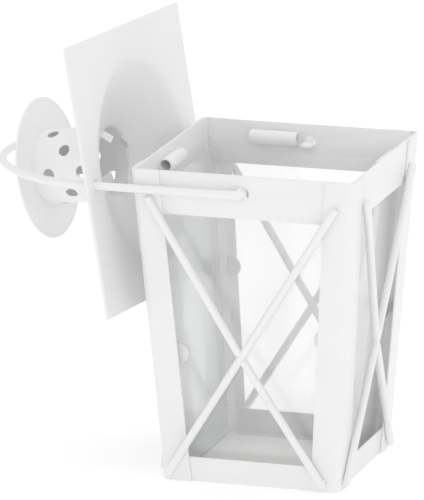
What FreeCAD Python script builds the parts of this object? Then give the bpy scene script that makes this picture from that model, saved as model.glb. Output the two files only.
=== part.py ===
"""Hurricane candle lantern: parametric model in millimetres, +Z up.

The origin is the middle of the base, on the surface the lantern stands on. The front faces
-Y. The lantern is shown opened: the bail handle lies level to the left, and the lid, which
rides on the handle's two legs, leans against the left side.

The frame tapers, so the four sides lean outwards. Pieces on a side are placed in that side's
own frame: X along the side (left to right as seen from outside), Y into the lantern, Z up
the slope. Side 0 is the front, and 1, 2 and 3 follow by quarter turns about Z.
"""
import FreeCAD, Part
import math
import os

import Sketcher

SIZES = [
    # frame
    ("body_height", 200.0),
    ("top_width", 142.8),
    ("base_width", 113.6),
    ("post_thickness", 1.2),
    ("post_corner_radius", 5.0),
    ("post_front_flange", 18.4),
    ("post_side_flange", 22.0),
    ("band_thickness", 1.2),
    ("top_band_height", 27.7),
    ("base_band_height", 15.8),
    ("floor_thickness", 1.0),
    # glass
    ("pane_thickness", 2.0),
    ("pane_inset", 8.0),
    ("pane_paddle_gap", 0.5),
    ("pane_edge_inset_front", 14.5),
    ("pane_edge_inset_side", 11.5),
    # keeper tubes, rolled from sheet, above the panes
    ("keeper_diameter", 9.0),
    ("keeper_wall", 1.0),
    ("keeper_length", 31.0),
    ("keeper_drop", 9.2),
    ("keeper_shift_front", 21.5),
    ("keeper_shift_right", 21.5),
    ("keeper_shift_back", 21.5),
    ("keeper_shift_left", 9.0),
    # corner clips that hold the panes off the posts
    ("clip_thickness", 0.8),
    ("clip_ear_diameter", 13.8),
    ("clip_ear_inset", 15.8),
    ("clip_waist_height", 7.0),
    ("clip_knee", 2.4),
    ("clip_foot_half_angle", 14.0),
    ("clip_height_front_left", 80.5),
    ("clip_height_front_right", 96.0),
    ("clip_height_back_right", 90.0),
    ("clip_height_back_left", 107.0),
    # cross braces, with a narrow flat where they are welded to the posts
    ("brace_diameter", 5.0),
    ("wire_flat", 0.2),
    ("brace_top_drop", 16.5),
    ("brace_foot_height", 3.6),
    ("brace_cross_share", 0.42),
    ("front_long_top_inset", 10.2),
    ("front_long_foot_inset", 3.4),
    ("front_pair_top_inset", 10.0),
    ("front_pair_foot_inset", 9.5),
    ("side_long_top_inset", 17.9),
    ("side_long_foot_inset", 6.4),
    ("side_pair_top_inset", 22.7),
    ("side_pair_foot_inset", 10.9),
    # bail handle
    ("handle_diameter", 5.0),
    ("pivot_drop", 11.5),
    ("pivot_clearance", 1.5),
    ("leg_gap", 0.5),
    ("leg_bend_radius", 4.0),
    ("paddle_spread", 1.84),
    ("paddle_flatness", 0.92),
    ("paddle_shift", 0.4),
    ("paddle_drop", 0.6),
    ("paddle_gap", 0.8),
    ("bow_shoulder_extra", 6.0),
    ("bow_crown_drop", 15.0),
    ("bow_cap_gap", 7.5),
    # lid
    ("eyelet_hem_gap", 1.0),
    ("lid_thickness", 1.0),
    ("lid_hem_width", 4.2),
    ("lid_hem_thickness", 1.0),
    ("cone_setback", 16.8),
    ("cone_height", 19.6),
    ("collar_height", 9.0),
    ("throat_tab_reach", 5.2),
    ("throat_tab_drop", 5.0),
    ("throat_tab_width", 6.0),
    ("throat_tab_turn", -27.0),
    ("throat_tabs", 4),
    ("cone_foot", 1.0),
    ("lid_skew", 2.0),
    ("lid_rest_gap", 2.2),
    ("eyelet_reach_front", 21.6),
    ("eyelet_reach_back", 8.1),
    ("eyelet_clearance", 1.2),
    ("eyelet_wall", 0.5),
    ("eyelet_flange", 0.8),
    ("eyelet_flange_thickness", 0.6),
    # chimney and its cap
    ("chimney_diameter", 47.0),
    ("chimney_wall", 0.8),
    ("chimney_hole_diameter", 7.5),
    ("chimney_hole_pitch", 11.3),
    ("chimney_first_hole", 12.9),
    ("chimney_hole_turn", 51.0),
    ("chimney_holes_per_row", 5),
    ("chimney_length", 46.0),
    ("cap_diameter", 88.6),
    ("cap_thickness", 0.8),
    ("cap_hem_width", 2.0),
    ("cap_hem_thickness", 0.8),
]

SIDES = ("front", "right", "back", "left")
CORNERS = ("front_left", "front_right", "back_right", "back_left")

# Expressions that several pieces share.
LEAN = "atan((Dims.top_width - Dims.base_width) / (2 * Dims.body_height))"
FLARE = "((Dims.top_width - Dims.base_width) / 2)"
BAND_DEPTH = f"(Dims.post_thickness * cos({LEAN}))"
FRAME_DEPTH = f"({BAND_DEPTH} + Dims.band_thickness)"
PIVOT_HEIGHT = "(Dims.body_height - Dims.pivot_drop)"
PADDLE_RADIUS = "(Dims.handle_diameter * Dims.paddle_spread / 2)"
PADDLE_REACH = f"({PADDLE_RADIUS} + Dims.paddle_shift)"
KEEPER_BORE = "(Dims.keeper_diameter - 2 * Dims.keeper_wall)"
LEG_Y = "(Dims.top_width / 2 + Dims.leg_gap + Dims.handle_diameter / 2)"
EYELET_RADIUS = "(Dims.handle_diameter / 2 + Dims.eyelet_clearance)"

doc = FreeCAD.newDocument("hurricane_lantern")
sheet = doc.addObject("Spreadsheet::Sheet", "Dims")
nodes = []


# ---------------------------------------------------------------- helpers

def fill_sheet():
    """Write every size into the sheet, with its name as the alias."""
    for row, (alias, value) in enumerate(SIZES, start=1):
        sheet.set(f"A{row}", alias)
        sheet.set(f"B{row}", str(value))
        sheet.setAlias(f"B{row}", alias)
    doc.recompute()


def value_of(expression):
    """The number an expression has with the present sizes."""
    result = sheet.evalExpression(expression)
    return float(getattr(result, "Value", result))


def keep(thing, label):
    """Name a finished piece; the name is its file's name too."""
    thing.Label = label
    nodes.append(thing)
    return thing


def half_width(height, inset="0"):
    """Half the frame's outer width at a height, less an inset square to the side."""
    return f"(Dims.base_width / 2 + ({height}) * tan({LEAN}) - ({inset}) / cos({LEAN}))"


def slope(height, depth="0"):
    """Distance up a side's slope of a point at this height and depth."""
    return f"((({height}) - ({depth}) * sin({LEAN})) / cos({LEAN}))"


def at(x="0", y="0", z="0", axis="0; 0; 1", angle="0"):
    """A placement: a turn about an axis, then a move."""
    return f"placement(vector({x}; {y}; {z}); rotation(vector({axis}); {angle}))"


def quarter_turn(index):
    """The turn about Z that carries the front side, or front left corner, to another."""
    return at(angle=f"{90 * index}")


def on_side(index):
    """The frame of one leaning side."""
    return quarter_turn(index) + " * " + at(y="-Dims.base_width / 2", axis="1; 0; 0", angle=LEAN)


def outline(sketch, start, steps, closed=True):
    """Draw lines and arcs through bound points.

    Each step is (x, y) for a line, or (x, y, centre_x, centre_y, radius, clockwise) for an
    arc. Every coordinate and radius is an expression, and stays bound to it.
    """
    corners = [start] + [step[:2] for step in steps]
    points = [FreeCAD.Vector(value_of(x), value_of(y), 0) for x, y in corners]
    ends = []
    for number, step in enumerate(steps):
        first, last = points[number], points[number + 1]
        if len(step) == 2:
            index = sketch.addGeometry(Part.LineSegment(first, last), False)
            ends.append((index, 1, 2))
            continue
        centre = FreeCAD.Vector(value_of(step[2]), value_of(step[3]), 0)
        clockwise = step[5]
        head, tail = (last, first) if clockwise else (first, last)
        circle = Part.Circle(centre, FreeCAD.Vector(0, 0, 1), value_of(step[4]))
        arc = Part.ArcOfCircle(circle, circle.parameter(head), circle.parameter(tail))
        index = sketch.addGeometry(arc, False)
        ends.append((index, 2, 1) if clockwise else (index, 1, 2))
    for number, (index, first_end, last_end) in enumerate(ends):
        bind_point(sketch, index, first_end, *corners[number])
        following = number + 1
        if following < len(ends):
            after = ends[following]
            sketch.addConstraint(Sketcher.Constraint("Coincident", index, last_end, after[0], after[1]))
        elif closed:
            after = ends[0]
            sketch.addConstraint(Sketcher.Constraint("Coincident", index, last_end, after[0], after[1]))
        else:
            bind_point(sketch, index, last_end, *corners[-1])
        if len(steps[number]) > 2:
            bind(sketch, Sketcher.Constraint("Radius", index, value_of(steps[number][4])), steps[number][4])


def bind(sketch, constraint, expression):
    """Add a dimension and tie it to its expression."""
    number = sketch.addConstraint(constraint)
    sketch.setExpression(f"Constraints[{number}]", expression)


def bind_point(sketch, index, end, x, y):
    """Hold one end of a piece of geometry at (x, y) from the sketch's origin."""
    bind(sketch, Sketcher.Constraint("DistanceX", -1, 1, index, end, value_of(x)), x)
    bind(sketch, Sketcher.Constraint("DistanceY", -1, 1, index, end, value_of(y)), y)


def circle(sketch, x, y, radius):
    """Draw a bound circle."""
    centre = FreeCAD.Vector(value_of(x), value_of(y), 0)
    index = sketch.addGeometry(Part.Circle(centre, FreeCAD.Vector(0, 0, 1), value_of(radius)), False)
    bind_point(sketch, index, 3, x, y)
    bind(sketch, Sketcher.Constraint("Radius", index, value_of(radius)), radius)


def rectangle(half_x, half_y):
    """The outline of a centred rectangle, as outline() takes it."""
    left, low = f"-({half_x})", f"-({half_y})"
    return (left, low), [(half_x, low), (half_x, half_y), (left, half_y), (left, low)]


def free_sketch(name, placement=None):
    """A sketch outside any body."""
    sketch = doc.addObject("Sketcher::SketchObject", name)
    if placement:
        sketch.setExpression("Placement", placement)
    return sketch


def body_sketch(body, name, role, lift=None, turn=None):
    """A sketch on one of a body's own origin planes, raised or turned about its Y axis."""
    plane = next(f for f in body.Origin.OriginFeatures if f.Role == role)
    sketch = body.newObject("Sketcher::SketchObject", name)
    sketch.AttachmentSupport = (plane, [""])
    sketch.MapMode = "FlatFace"
    if lift:
        sketch.setExpression("AttachmentOffset", at(z=lift))
    if turn:
        sketch.setExpression("AttachmentOffset", at(axis="0; 1; 0", angle=turn))
    return sketch


def extruded(sketch, name, length, direction=("0", "0", "1")):
    """A sketch pushed along a direction; the length is measured along it."""
    solid = doc.addObject("Part::Extrusion", name)
    solid.Base = sketch
    solid.DirMode = "Custom"
    solid.Solid = True
    for letter, part in zip("xyz", direction):
        solid.setExpression(f"Dir.{letter}", part)
    solid.setExpression("LengthFwd", length)
    return solid


def cylinder(name, radius, height, placement):
    """A round bar."""
    bar = doc.addObject("Part::Cylinder", name)
    bar.setExpression("Radius", radius)
    bar.setExpression("Height", height)
    bar.setExpression("Placement", placement)
    return bar


def leaning_plate(name, side, low, high, depth, thickness, edge_inset):
    """A flat plate in a side's plane, as wide as the taper lets it be at each height.

    low and high are the heights of its lower and upper edges, depth its outer face, and
    edge_inset the distance its ends keep from the neighbouring sides' outer faces.
    """
    plate = doc.addObject("Part::Wedge", name)
    inner = f"(({depth}) + ({thickness}))"
    foot, head = slope(low, depth), slope(high, inner)
    plate.setExpression("Ymin", foot)
    plate.setExpression("Ymax", head)
    for prefix, level in (("X", foot), ("X2", head)):
        level_height = f"(({level}) * cos({LEAN}) + ({depth}) * sin({LEAN}))"
        half = half_width(level_height, edge_inset)
        plate.setExpression(prefix + "min", "-" + half)
        plate.setExpression(prefix + "max", half)
    for prefix in ("Z", "Z2"):
        plate.setExpression(prefix + "min", f"-{inner}")
        plate.setExpression(prefix + "max", f"-({depth})")
    plate.setExpression("Placement", on_side(side) + " * " + at(axis="1; 0; 0", angle="90"))
    return plate


def round_with_flat(name, diameter, bore=None):
    """The section of a bar or tube with a narrow flat; the flat lies on the sketch's X axis."""
    sketch = free_sketch(name)
    radius = f"({diameter} / 2)"
    drop = f"({radius} - Dims.wire_flat)"
    chord = f"sqrt({radius}^2 - {drop}^2)"
    centre_y = f"-{drop}"
    steps = [
        (chord, "0", "0", centre_y, radius, False),
        (f"-{chord}", "0"),
    ]
    outline(sketch, (f"-{chord}", "0"), steps)
    if bore:
        circle(sketch, "0", centre_y, f"{bore} / 2")
    return sketch


# ---------------------------------------------------------------- frame

def build_posts():
    """Four angle posts with a rounded fold, leaning out along the frame's corner edges."""
    rise = [f"-{FLARE}", f"-{FLARE}", "Dims.body_height"]
    length = f"sqrt(2 * {FLARE}^2 + Dims.body_height^2)"
    fold, wall = "Dims.post_corner_radius", "Dims.post_thickness"
    sections = []
    for arm_x, arm_y in (("front", "side"), ("side", "front")):
        along_x, along_y = f"Dims.post_{arm_x}_flange", f"Dims.post_{arm_y}_flange"
        corner = at(x="-Dims.base_width / 2", y="-Dims.base_width / 2")
        sketch = free_sketch(f"post_section_{arm_x}_{arm_y}", corner)
        steps = [
            (along_x, "0"),
            (along_x, wall),
            (fold, wall),
            (wall, fold, fold, fold, f"{fold} - {wall}", True),
            (wall, along_y),
            ("0", along_y),
            ("0", fold),
            (fold, "0", fold, fold, fold, False),
        ]
        outline(sketch, (fold, "0"), steps)
        sections.append(sketch)
    for index, corner_name in enumerate(CORNERS):
        post = extruded(sections[index % 2], "post_" + corner_name, length, rise)
        post.setExpression("Placement", quarter_turn(index))
        keep(post, "post_" + corner_name)


def build_bands():
    """Eight flat bands inside the posts; the handle passes through two of the top ones."""
    for index, side in enumerate(SIDES):
        low = "Dims.body_height - Dims.top_band_height"
        top = leaning_plate("top_band_blank_" + side, index, low, "Dims.body_height",
                            BAND_DEPTH, "Dims.band_thickness", "Dims.post_corner_radius")
        if side in ("front", "back"):
            top = pierced_for_pivot(top, side, index)
        keep(top, "top_band_" + side)
        base = leaning_plate("base_band_" + side, index, "0", "Dims.base_band_height",
                             BAND_DEPTH, "Dims.band_thickness", "Dims.post_corner_radius")
        keep(base, "base_band_" + side)


def pierced_for_pivot(band, side, index):
    """A top band with the hole that the handle's end turns in."""
    reach = half_width(PIVOT_HEIGHT)
    across = at(y=f"-{reach} - {FRAME_DEPTH}", z=PIVOT_HEIGHT, axis="1; 0; 0", angle="-90")
    radius = "Dims.handle_diameter / 2 + Dims.pivot_clearance"
    drill = cylinder("pivot_drill_" + side, radius, f"4 * {FRAME_DEPTH}",
                     quarter_turn(index) + " * " + across)
    cut = doc.addObject("Part::Cut", "top_band_pierced_" + side)
    cut.Base = band
    cut.Tool = drill
    return cut


def build_floor():
    """The floor sheet, between the base bands, its corners cut back for the posts' folds."""
    edge = half_width("0", FRAME_DEPTH)
    shoulder = f"({edge} - Dims.post_corner_radius)"
    sketch = free_sketch("floor_outline")
    steps = [
        (shoulder, f"-{edge}"),
        (edge, f"-{shoulder}"),
        (edge, shoulder),
        (shoulder, edge),
        (f"-{shoulder}", edge),
        (f"-{edge}", shoulder),
        (f"-{edge}", f"-{shoulder}"),
        (f"-{shoulder}", f"-{edge}"),
    ]
    outline(sketch, (f"-{shoulder}", f"-{edge}"), steps)
    keep(extruded(sketch, "floor_sheet", "Dims.floor_thickness"), "floor_plate")


def build_panes():
    """Four glass panes that stand on the floor and lean with the sides."""
    for index, side in enumerate(SIDES):
        inset = "Dims.pane_edge_inset_front" if index % 2 == 0 else "Dims.pane_edge_inset_side"
        pane = leaning_plate("pane_" + side, index, "Dims.floor_thickness",
                             f"{PIVOT_HEIGHT} - {PADDLE_REACH} - Dims.pane_paddle_gap",
                             "Dims.pane_inset", "Dims.pane_thickness", inset)
        keep(pane, "glass_pane_" + side)


def build_braces():
    """On each side one long rod, and two short rods that meet it, welded on the outside."""
    section = round_with_flat("brace_section", "Dims.brace_diameter")
    top = "(Dims.body_height - Dims.brace_top_drop)"
    foot = "Dims.brace_foot_height"
    cross = "(Dims.body_height * Dims.brace_cross_share)"
    for index, side in enumerate(SIDES):
        family = "front" if index % 2 == 0 else "side"

        def from_edge(height, which):
            return half_width(height, f"Dims.{family}_{which}_inset")

        long_top = (from_edge(top, "long_top"), top)
        long_foot = (f"-{from_edge(foot, 'long_foot')}", foot)
        share = f"(({top} - {cross}) / ({top} - {foot}))"
        meeting_x = f"({long_top[0]} + ({long_foot[0]} - {long_top[0]}) * {share})"
        meeting = (meeting_x, cross)
        long_rod = brace(section, f"brace_{side}_long", index, long_foot, long_top)
        keep(long_rod, f"brace_{side}_long")
        starts = {
            "upper": (f"-{from_edge(top, 'pair_top')}", top),
            "lower": (from_edge(foot, "pair_foot"), foot),
        }
        for part, start in starts.items():
            blank = brace(section, f"brace_{side}_{part}_blank", index, start, meeting)
            short = doc.addObject("Part::Cut", f"brace_{side}_{part}")
            short.Base = blank
            short.Tool = long_rod
            keep(short, f"brace_{side}_{part}")


def brace(section, name, side, start, finish):
    """A rod on a side, from one (x, height) to another."""
    rise = f"({slope(finish[1])} - {slope(start[1])})"
    run = f"({finish[0]} - {start[0]})"
    rod = extruded(section, name, f"sqrt({rise}^2 + {run}^2)")
    stand = at(x=start[0], z=slope(start[1]), axis="0; 1; 0", angle=f"atan2({run}; {rise})")
    rod.setExpression("Placement", on_side(side) + " * " + stand)
    return rod


def build_keepers():
    """A short rolled tube inside each top band, above the pane."""
    section = round_with_flat("keeper_section", "Dims.keeper_diameter", KEEPER_BORE)
    height = "Dims.body_height - Dims.keeper_drop"
    for index, side in enumerate(SIDES):
        shift = f"Dims.keeper_shift_{side}"
        tube = extruded(section, "keeper_" + side, "Dims.keeper_length")
        start = at(x=f"{shift} - Dims.keeper_length / 2", y=FRAME_DEPTH,
                   z=slope(height, FRAME_DEPTH), axis="1; 0; 1", angle="180")
        tube.setExpression("Placement", on_side(index) + " * " + start)
        keep(tube, "pane_keeper_" + side)


def build_clips():
    """A folded clip in each corner: a waist welded in the fold and an ear behind each pane."""
    fold = "Dims.post_corner_radius"
    fold_inside = f"({fold} - Dims.post_thickness)"
    outer = f"((Dims.pane_inset - Dims.clip_thickness) / cos({LEAN}))"
    inner = f"(Dims.pane_inset / cos({LEAN}))"
    outer_knee = f"({outer} + Dims.clip_knee)"
    inner_knee = f"({inner} + Dims.clip_knee - Dims.clip_thickness / 2)"
    root = f"({fold} - Dims.clip_thickness)"
    ear = "Dims.clip_ear_inset"
    near = [f"({fold} - {fold_inside} * {part}(45 deg - Dims.clip_foot_half_angle * 1 deg))"
            for part in ("cos", "sin")]
    waist = free_sketch("clip_waist", at(x="-Dims.base_width / 2", y="-Dims.base_width / 2"))
    steps = [
        (near[0], near[1], fold, fold, fold_inside, True),
        (outer, outer_knee),
        (outer, ear),
        (inner, ear),
        (inner, inner_knee),
        (root, root),
        (inner_knee, inner),
        (ear, inner),
        (ear, outer),
        (outer_knee, outer),
        (near[1], near[0]),
    ]
    outline(waist, (near[1], near[0]), steps)
    for index, corner_name in enumerate(CORNERS):
        height = f"Dims.clip_height_{corner_name}"
        build_clip(waist, index, corner_name, height)


def build_clip(waist, index, corner_name, height):
    """One corner clip at its height."""
    low = f"({height} - Dims.clip_waist_height / 2)"
    scale = "Dims.clip_waist_height / Dims.body_height"
    rise = [f"-{FLARE}", f"-{FLARE}", "Dims.body_height"]
    strip = extruded(waist, "clip_strip_" + corner_name,
                     f"sqrt(2 * {FLARE}^2 + Dims.body_height^2) * {scale}", rise)
    outwards = f"-{FLARE} * {low} / Dims.body_height"
    strip.setExpression("Placement", quarter_turn(index) + " * " + at(x=outwards, y=outwards, z=low))
    pieces = [strip]
    reach = half_width(height, "Dims.clip_ear_inset")
    for side, sign in ((index, "-"), ((index + 3) % 4, "")):
        seat = at(x=f"{sign}{reach}", y="Dims.pane_inset - Dims.clip_thickness",
                  z=slope(height), axis="1; 0; 0", angle="-90")
        ear = cylinder(f"clip_ear_{corner_name}_{side}", "Dims.clip_ear_diameter / 2",
                       "Dims.clip_thickness", on_side(side) + " * " + seat)
        pieces.append(ear)
    clip = doc.addObject("Part::MultiFuse", "clip_" + corner_name)
    clip.Shapes = pieces
    clip.Refine = True
    keep(clip, "corner_clip_" + corner_name)


# ---------------------------------------------------------------- handle

SHOULDER = f"({LEG_Y} + Dims.bow_shoulder_extra)"
CROWN = f"({SHOULDER} - Dims.bow_crown_drop)"
LID_REACH = "(Dims.top_width / 2 + (Dims.eyelet_reach_front + Dims.eyelet_reach_back) / 2)"
CAP_HEIGHT = "(Dims.cone_height + Dims.chimney_length)"
CHIMNEY_RADIUS = "(Dims.chimney_diameter / 2)"
COLLAR_RADIUS = f"({CHIMNEY_RADIUS} - Dims.chimney_wall)"
CONE_RADIUS = "((Dims.top_width - Dims.cone_setback) / 2)"
CONE_FALL = f"(Dims.cone_height / ({CONE_RADIUS} - {CHIMNEY_RADIUS}))"
CONE_STACK = f"(Dims.lid_thickness / cos(atan({CONE_FALL})))"
CHIMNEY_FOOT = f"(Dims.cone_height + Dims.chimney_wall * {CONE_FALL} + {CONE_STACK})"


def build_handle():
    """The wire bail, level to the left: two legs, a bow of three arcs, and hammered ends."""
    cap_side = "(Dims.cap_diameter / 2 + Dims.bow_cap_gap + Dims.bow_shoulder_extra)"
    straight = f"({LID_REACH} + {CAP_HEIGHT} - sqrt({SHOULDER}^2 - {cap_side}^2))"
    step = f"sqrt(Dims.bow_crown_drop^2 - Dims.bow_shoulder_extra^2)"
    crown_x = f"(-{straight} - {step})"
    join_x = f"({crown_x} - {CROWN} * {step} / Dims.bow_crown_drop)"
    join_y = f"({CROWN} * Dims.bow_shoulder_extra / Dims.bow_crown_drop)"
    bend = "Dims.leg_bend_radius"
    turn_y = f"({LEG_Y} - {bend})"
    inner_end = f"({half_width(PIVOT_HEIGHT, FRAME_DEPTH)} - Dims.paddle_gap - {PADDLE_RADIUS})"
    path = free_sketch("handle_path", at(z=PIVOT_HEIGHT))
    extra = "Dims.bow_shoulder_extra"
    steps = [
        ("0", f"-{turn_y}"),
        (f"-{bend}", f"-{LEG_Y}", f"-{bend}", f"-{turn_y}", bend, True),
        (f"-{straight}", f"-{LEG_Y}"),
        (join_x, f"-{join_y}", f"-{straight}", extra, SHOULDER, True),
        (join_x, join_y, crown_x, "0", CROWN, True),
        (f"-{straight}", LEG_Y, f"-{straight}", f"-{extra}", SHOULDER, True),
        (f"-{bend}", LEG_Y),
        ("0", turn_y, f"-{bend}", turn_y, bend, True),
        ("0", inner_end),
    ]
    outline(path, ("0", f"-{inner_end}"), steps, closed=False)
    section = free_sketch("handle_section", at(y=f"-{inner_end}", z=PIVOT_HEIGHT,
                                               axis="1; 0; 0", angle="90"))
    circle(section, "0", "0", "Dims.handle_diameter / 2")
    doc.recompute()
    wire = doc.addObject("Part::Sweep", "handle_wire")
    wire.Sections = [section]
    wire.Spine = (path, [f"Edge{number}" for number in range(1, len(steps) + 1)])
    wire.Solid = True
    wire.Frenet = False
    pieces = [wire]
    for side, sign in (("front", "-"), ("back", "")):
        pad = doc.addObject("Part::Ellipsoid", "handle_paddle_" + side)
        pad.setExpression("Radius1", "Dims.handle_diameter * Dims.paddle_flatness / 2")
        pad.setExpression("Radius2", PADDLE_RADIUS)
        pad.setExpression("Radius3", PADDLE_RADIUS)
        seat = at(x="Dims.paddle_shift", y=f"{sign}{inner_end}", z=f"{PIVOT_HEIGHT} - Dims.paddle_drop")
        pad.setExpression("Placement", seat)
        pieces.append(pad)
    handle = doc.addObject("Part::MultiFuse", "handle_fused")
    handle.Shapes = pieces
    keep(handle, "handle")


# ---------------------------------------------------------------- lid

EYELET_ROOM = f"({EYELET_RADIUS} + Dims.eyelet_wall + Dims.eyelet_flange + Dims.eyelet_hem_gap)"
LID_SIDE = f"(2 * ({LEG_Y} + {EYELET_ROOM} + Dims.lid_hem_width))"
LID_YAW = f"atan((Dims.eyelet_reach_front - Dims.eyelet_reach_back) / (2 * {LEG_Y}))"
LOWER_EDGE = f"({PIVOT_HEIGHT} - {LID_SIDE} / 2)"
LID_TILT = (f"asin(({LID_REACH} - {half_width(LOWER_EDGE)} - Dims.brace_diameter"
            f" - Dims.lid_rest_gap) / ({LID_SIDE} / 2))")
EYELET_SPAN = f"sqrt({LEG_Y}^2 + ((Dims.eyelet_reach_front - Dims.eyelet_reach_back) / 2)^2)"
EYELET_X = f"({EYELET_SPAN} * sin(Dims.lid_skew * 1 deg))"
EYELET_Y = f"({EYELET_SPAN} * cos(Dims.lid_skew * 1 deg))"
ON_LID = " * ".join([
    at(x=f"-{LID_REACH}", z=PIVOT_HEIGHT, angle=f"-{LID_YAW}"),
    at(axis="0; 1; 0", angle=f"-90 deg - {LID_TILT}"),
    at(angle="Dims.lid_skew * 1 deg"),
])
"""The lid's frame: Z towards the rain cap, Y from front to back, X upwards."""


def new_body(name, placement):
    """A body placed by an expression."""
    body = doc.addObject("PartDesign::Body", name)
    body.setExpression("Placement", placement)
    return body


def padded(body, sketch, name, length):
    """Thicken a sketch upwards."""
    pad = body.newObject("PartDesign::Pad", name)
    pad.Profile = sketch
    pad.setExpression("Length", length)
    body.Tip = pad
    doc.recompute()
    return pad


def pocketed(body, sketch, name, length, reverse):
    """Cut a sketch away, and make sure that it took material."""
    before = body.Shape.Volume
    pocket = body.newObject("PartDesign::Pocket", name)
    pocket.Profile = sketch
    pocket.setExpression("Length", length)
    pocket.Reversed = reverse
    body.Tip = pocket
    doc.recompute()
    if body.Shape.Volume >= before:
        raise RuntimeError(f"{name} cut nothing")
    return pocket


def revolved(body, sketch, name):
    """Turn a sketch about its vertical axis."""
    turned = body.newObject("PartDesign::Revolution", name)
    turned.Profile = sketch
    turned.ReferenceAxis = (sketch, ["V_Axis"])
    turned.Angle = 360
    body.Tip = turned
    doc.recompute()
    return turned


def polar(body, feature, name, count):
    """Repeat a feature about the body's Z axis."""
    axis = next(f for f in body.Origin.OriginFeatures if f.Role == "Z_Axis")
    pattern = body.newObject("PartDesign::PolarPattern", name)
    pattern.Originals = [feature]
    pattern.Axis = (axis, [""])
    pattern.Angle = 360
    pattern.setExpression("Occurrences", count)
    body.Tip = pattern
    doc.recompute()
    return pattern


def build_lid_plate():
    """The square lid sheet: hemmed edges, a stamped cone with a collar, and two holes."""
    body = new_body("lid_sheet", ON_LID)
    sheet_sketch = body_sketch(body, "lid_outline", "XY_Plane")
    edge = f"{LID_SIDE} / 2"
    outline(sheet_sketch, *rectangle(edge, edge))
    padded(body, sheet_sketch, "lid_flat", "Dims.lid_thickness")
    hem_sketch = body_sketch(body, "lid_hem_outline", "XY_Plane", lift="Dims.lid_thickness")
    outline(hem_sketch, *rectangle(edge, edge))
    hem_edge = f"({edge} - Dims.lid_hem_width)"
    outline(hem_sketch, *rectangle(hem_edge, hem_edge))
    padded(body, hem_sketch, "lid_hem", "Dims.lid_hem_thickness")
    opening = body_sketch(body, "cone_opening", "XY_Plane")
    circle(opening, "0", "0", CONE_RADIUS)
    pocketed(body, opening, "cone_base_cut", "Dims.lid_thickness", True)
    cone_sketch = body_sketch(body, "cone_section", "XZ_Plane")
    blend = f"({CONE_RADIUS} + ({CONE_STACK} - Dims.lid_thickness) / {CONE_FALL})"
    foot = f"({CONE_RADIUS} + Dims.cone_foot)"
    sleeve = f"({COLLAR_RADIUS} - Dims.lid_thickness)"
    throat = f"(Dims.cone_height + ({CHIMNEY_RADIUS} - {sleeve}) * {CONE_FALL})"
    collar_top = f"({CHIMNEY_FOOT} + Dims.collar_height)"
    steps = [
        (CONE_RADIUS, "0"),
        (sleeve, throat),
        (sleeve, collar_top),
        (COLLAR_RADIUS, collar_top),
        (COLLAR_RADIUS, CHIMNEY_FOOT),
        (blend, "Dims.lid_thickness"),
        (foot, "Dims.lid_thickness"),
        (foot, "0"),
    ]
    outline(cone_sketch, (foot, "0"), steps)
    revolved(body, cone_sketch, "cone")
    hang_throat_tabs(body, sleeve, throat)
    eyelet_holes = body_sketch(body, "eyelet_holes", "XY_Plane")
    hole = f"{EYELET_RADIUS} + Dims.eyelet_wall"
    circle(eyelet_holes, f"-{EYELET_X}", f"-{EYELET_Y}", hole)
    circle(eyelet_holes, EYELET_X, EYELET_Y, hole)
    pocketed(body, eyelet_holes, "eyelet_cut", "Dims.lid_thickness", True)
    keep(body, "lid_plate")


def hang_throat_tabs(body, edge, height):
    """Four tabs cut from the throat's edge and bent in and down."""
    sketch = body_sketch(body, "throat_tab_section", "XZ_Plane", turn="Dims.throat_tab_turn * 1 deg")
    root = f"({edge} + Dims.lid_thickness / 2)"
    tip = f"({edge} - Dims.throat_tab_reach)"
    stack = "(Dims.lid_thickness / cos(atan(Dims.throat_tab_drop / Dims.throat_tab_reach)))"
    steps = [
        (edge, height),
        (tip, f"{height} - Dims.throat_tab_drop"),
        (tip, f"{height} - Dims.throat_tab_drop + {stack}"),
        (edge, f"{height} + {stack}"),
        (root, f"{height} + {stack}"),
        (root, height),
    ]
    outline(sketch, (root, height), steps)
    tab = padded(body, sketch, "throat_tab", "Dims.throat_tab_width")
    tab.Midplane = True
    polar(body, tab, "throat_tab_pattern", "Dims.throat_tabs")


def build_chimney():
    """The perforated tube, seated over the lid's collar."""
    body = new_body("chimney_tube", ON_LID)
    wall = body_sketch(body, "chimney_section", "XZ_Plane")
    steps = [
        (CHIMNEY_RADIUS, CHIMNEY_FOOT),
        (CHIMNEY_RADIUS, CAP_HEIGHT),
        (COLLAR_RADIUS, CAP_HEIGHT),
        (COLLAR_RADIUS, CHIMNEY_FOOT),
    ]
    outline(wall, (COLLAR_RADIUS, CHIMNEY_FOOT), steps)
    revolved(body, wall, "chimney_wall_turned")
    first = "(Dims.cone_height + Dims.chimney_first_hole)"
    stagger = "(180 / Dims.chimney_holes_per_row)"
    rows = {
        "outer_rows": ("Dims.chimney_hole_turn", ("0", "2")),
        "middle_row": (f"Dims.chimney_hole_turn - {stagger}", ("1",)),
    }
    for name, (turn, steps_up) in rows.items():
        sketch = body_sketch(body, name + "_sketch", "YZ_Plane", turn=f"({turn}) * 1 deg")
        for step_up in steps_up:
            height = f"({first} + {step_up} * Dims.chimney_hole_pitch)"
            circle(sketch, "0", height, "Dims.chimney_hole_diameter / 2")
        cut = pocketed(body, sketch, name, f"{CHIMNEY_RADIUS} + Dims.chimney_wall", True)
        polar(body, cut, name + "_pattern", "Dims.chimney_holes_per_row")
    keep(body, "chimney")


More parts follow.
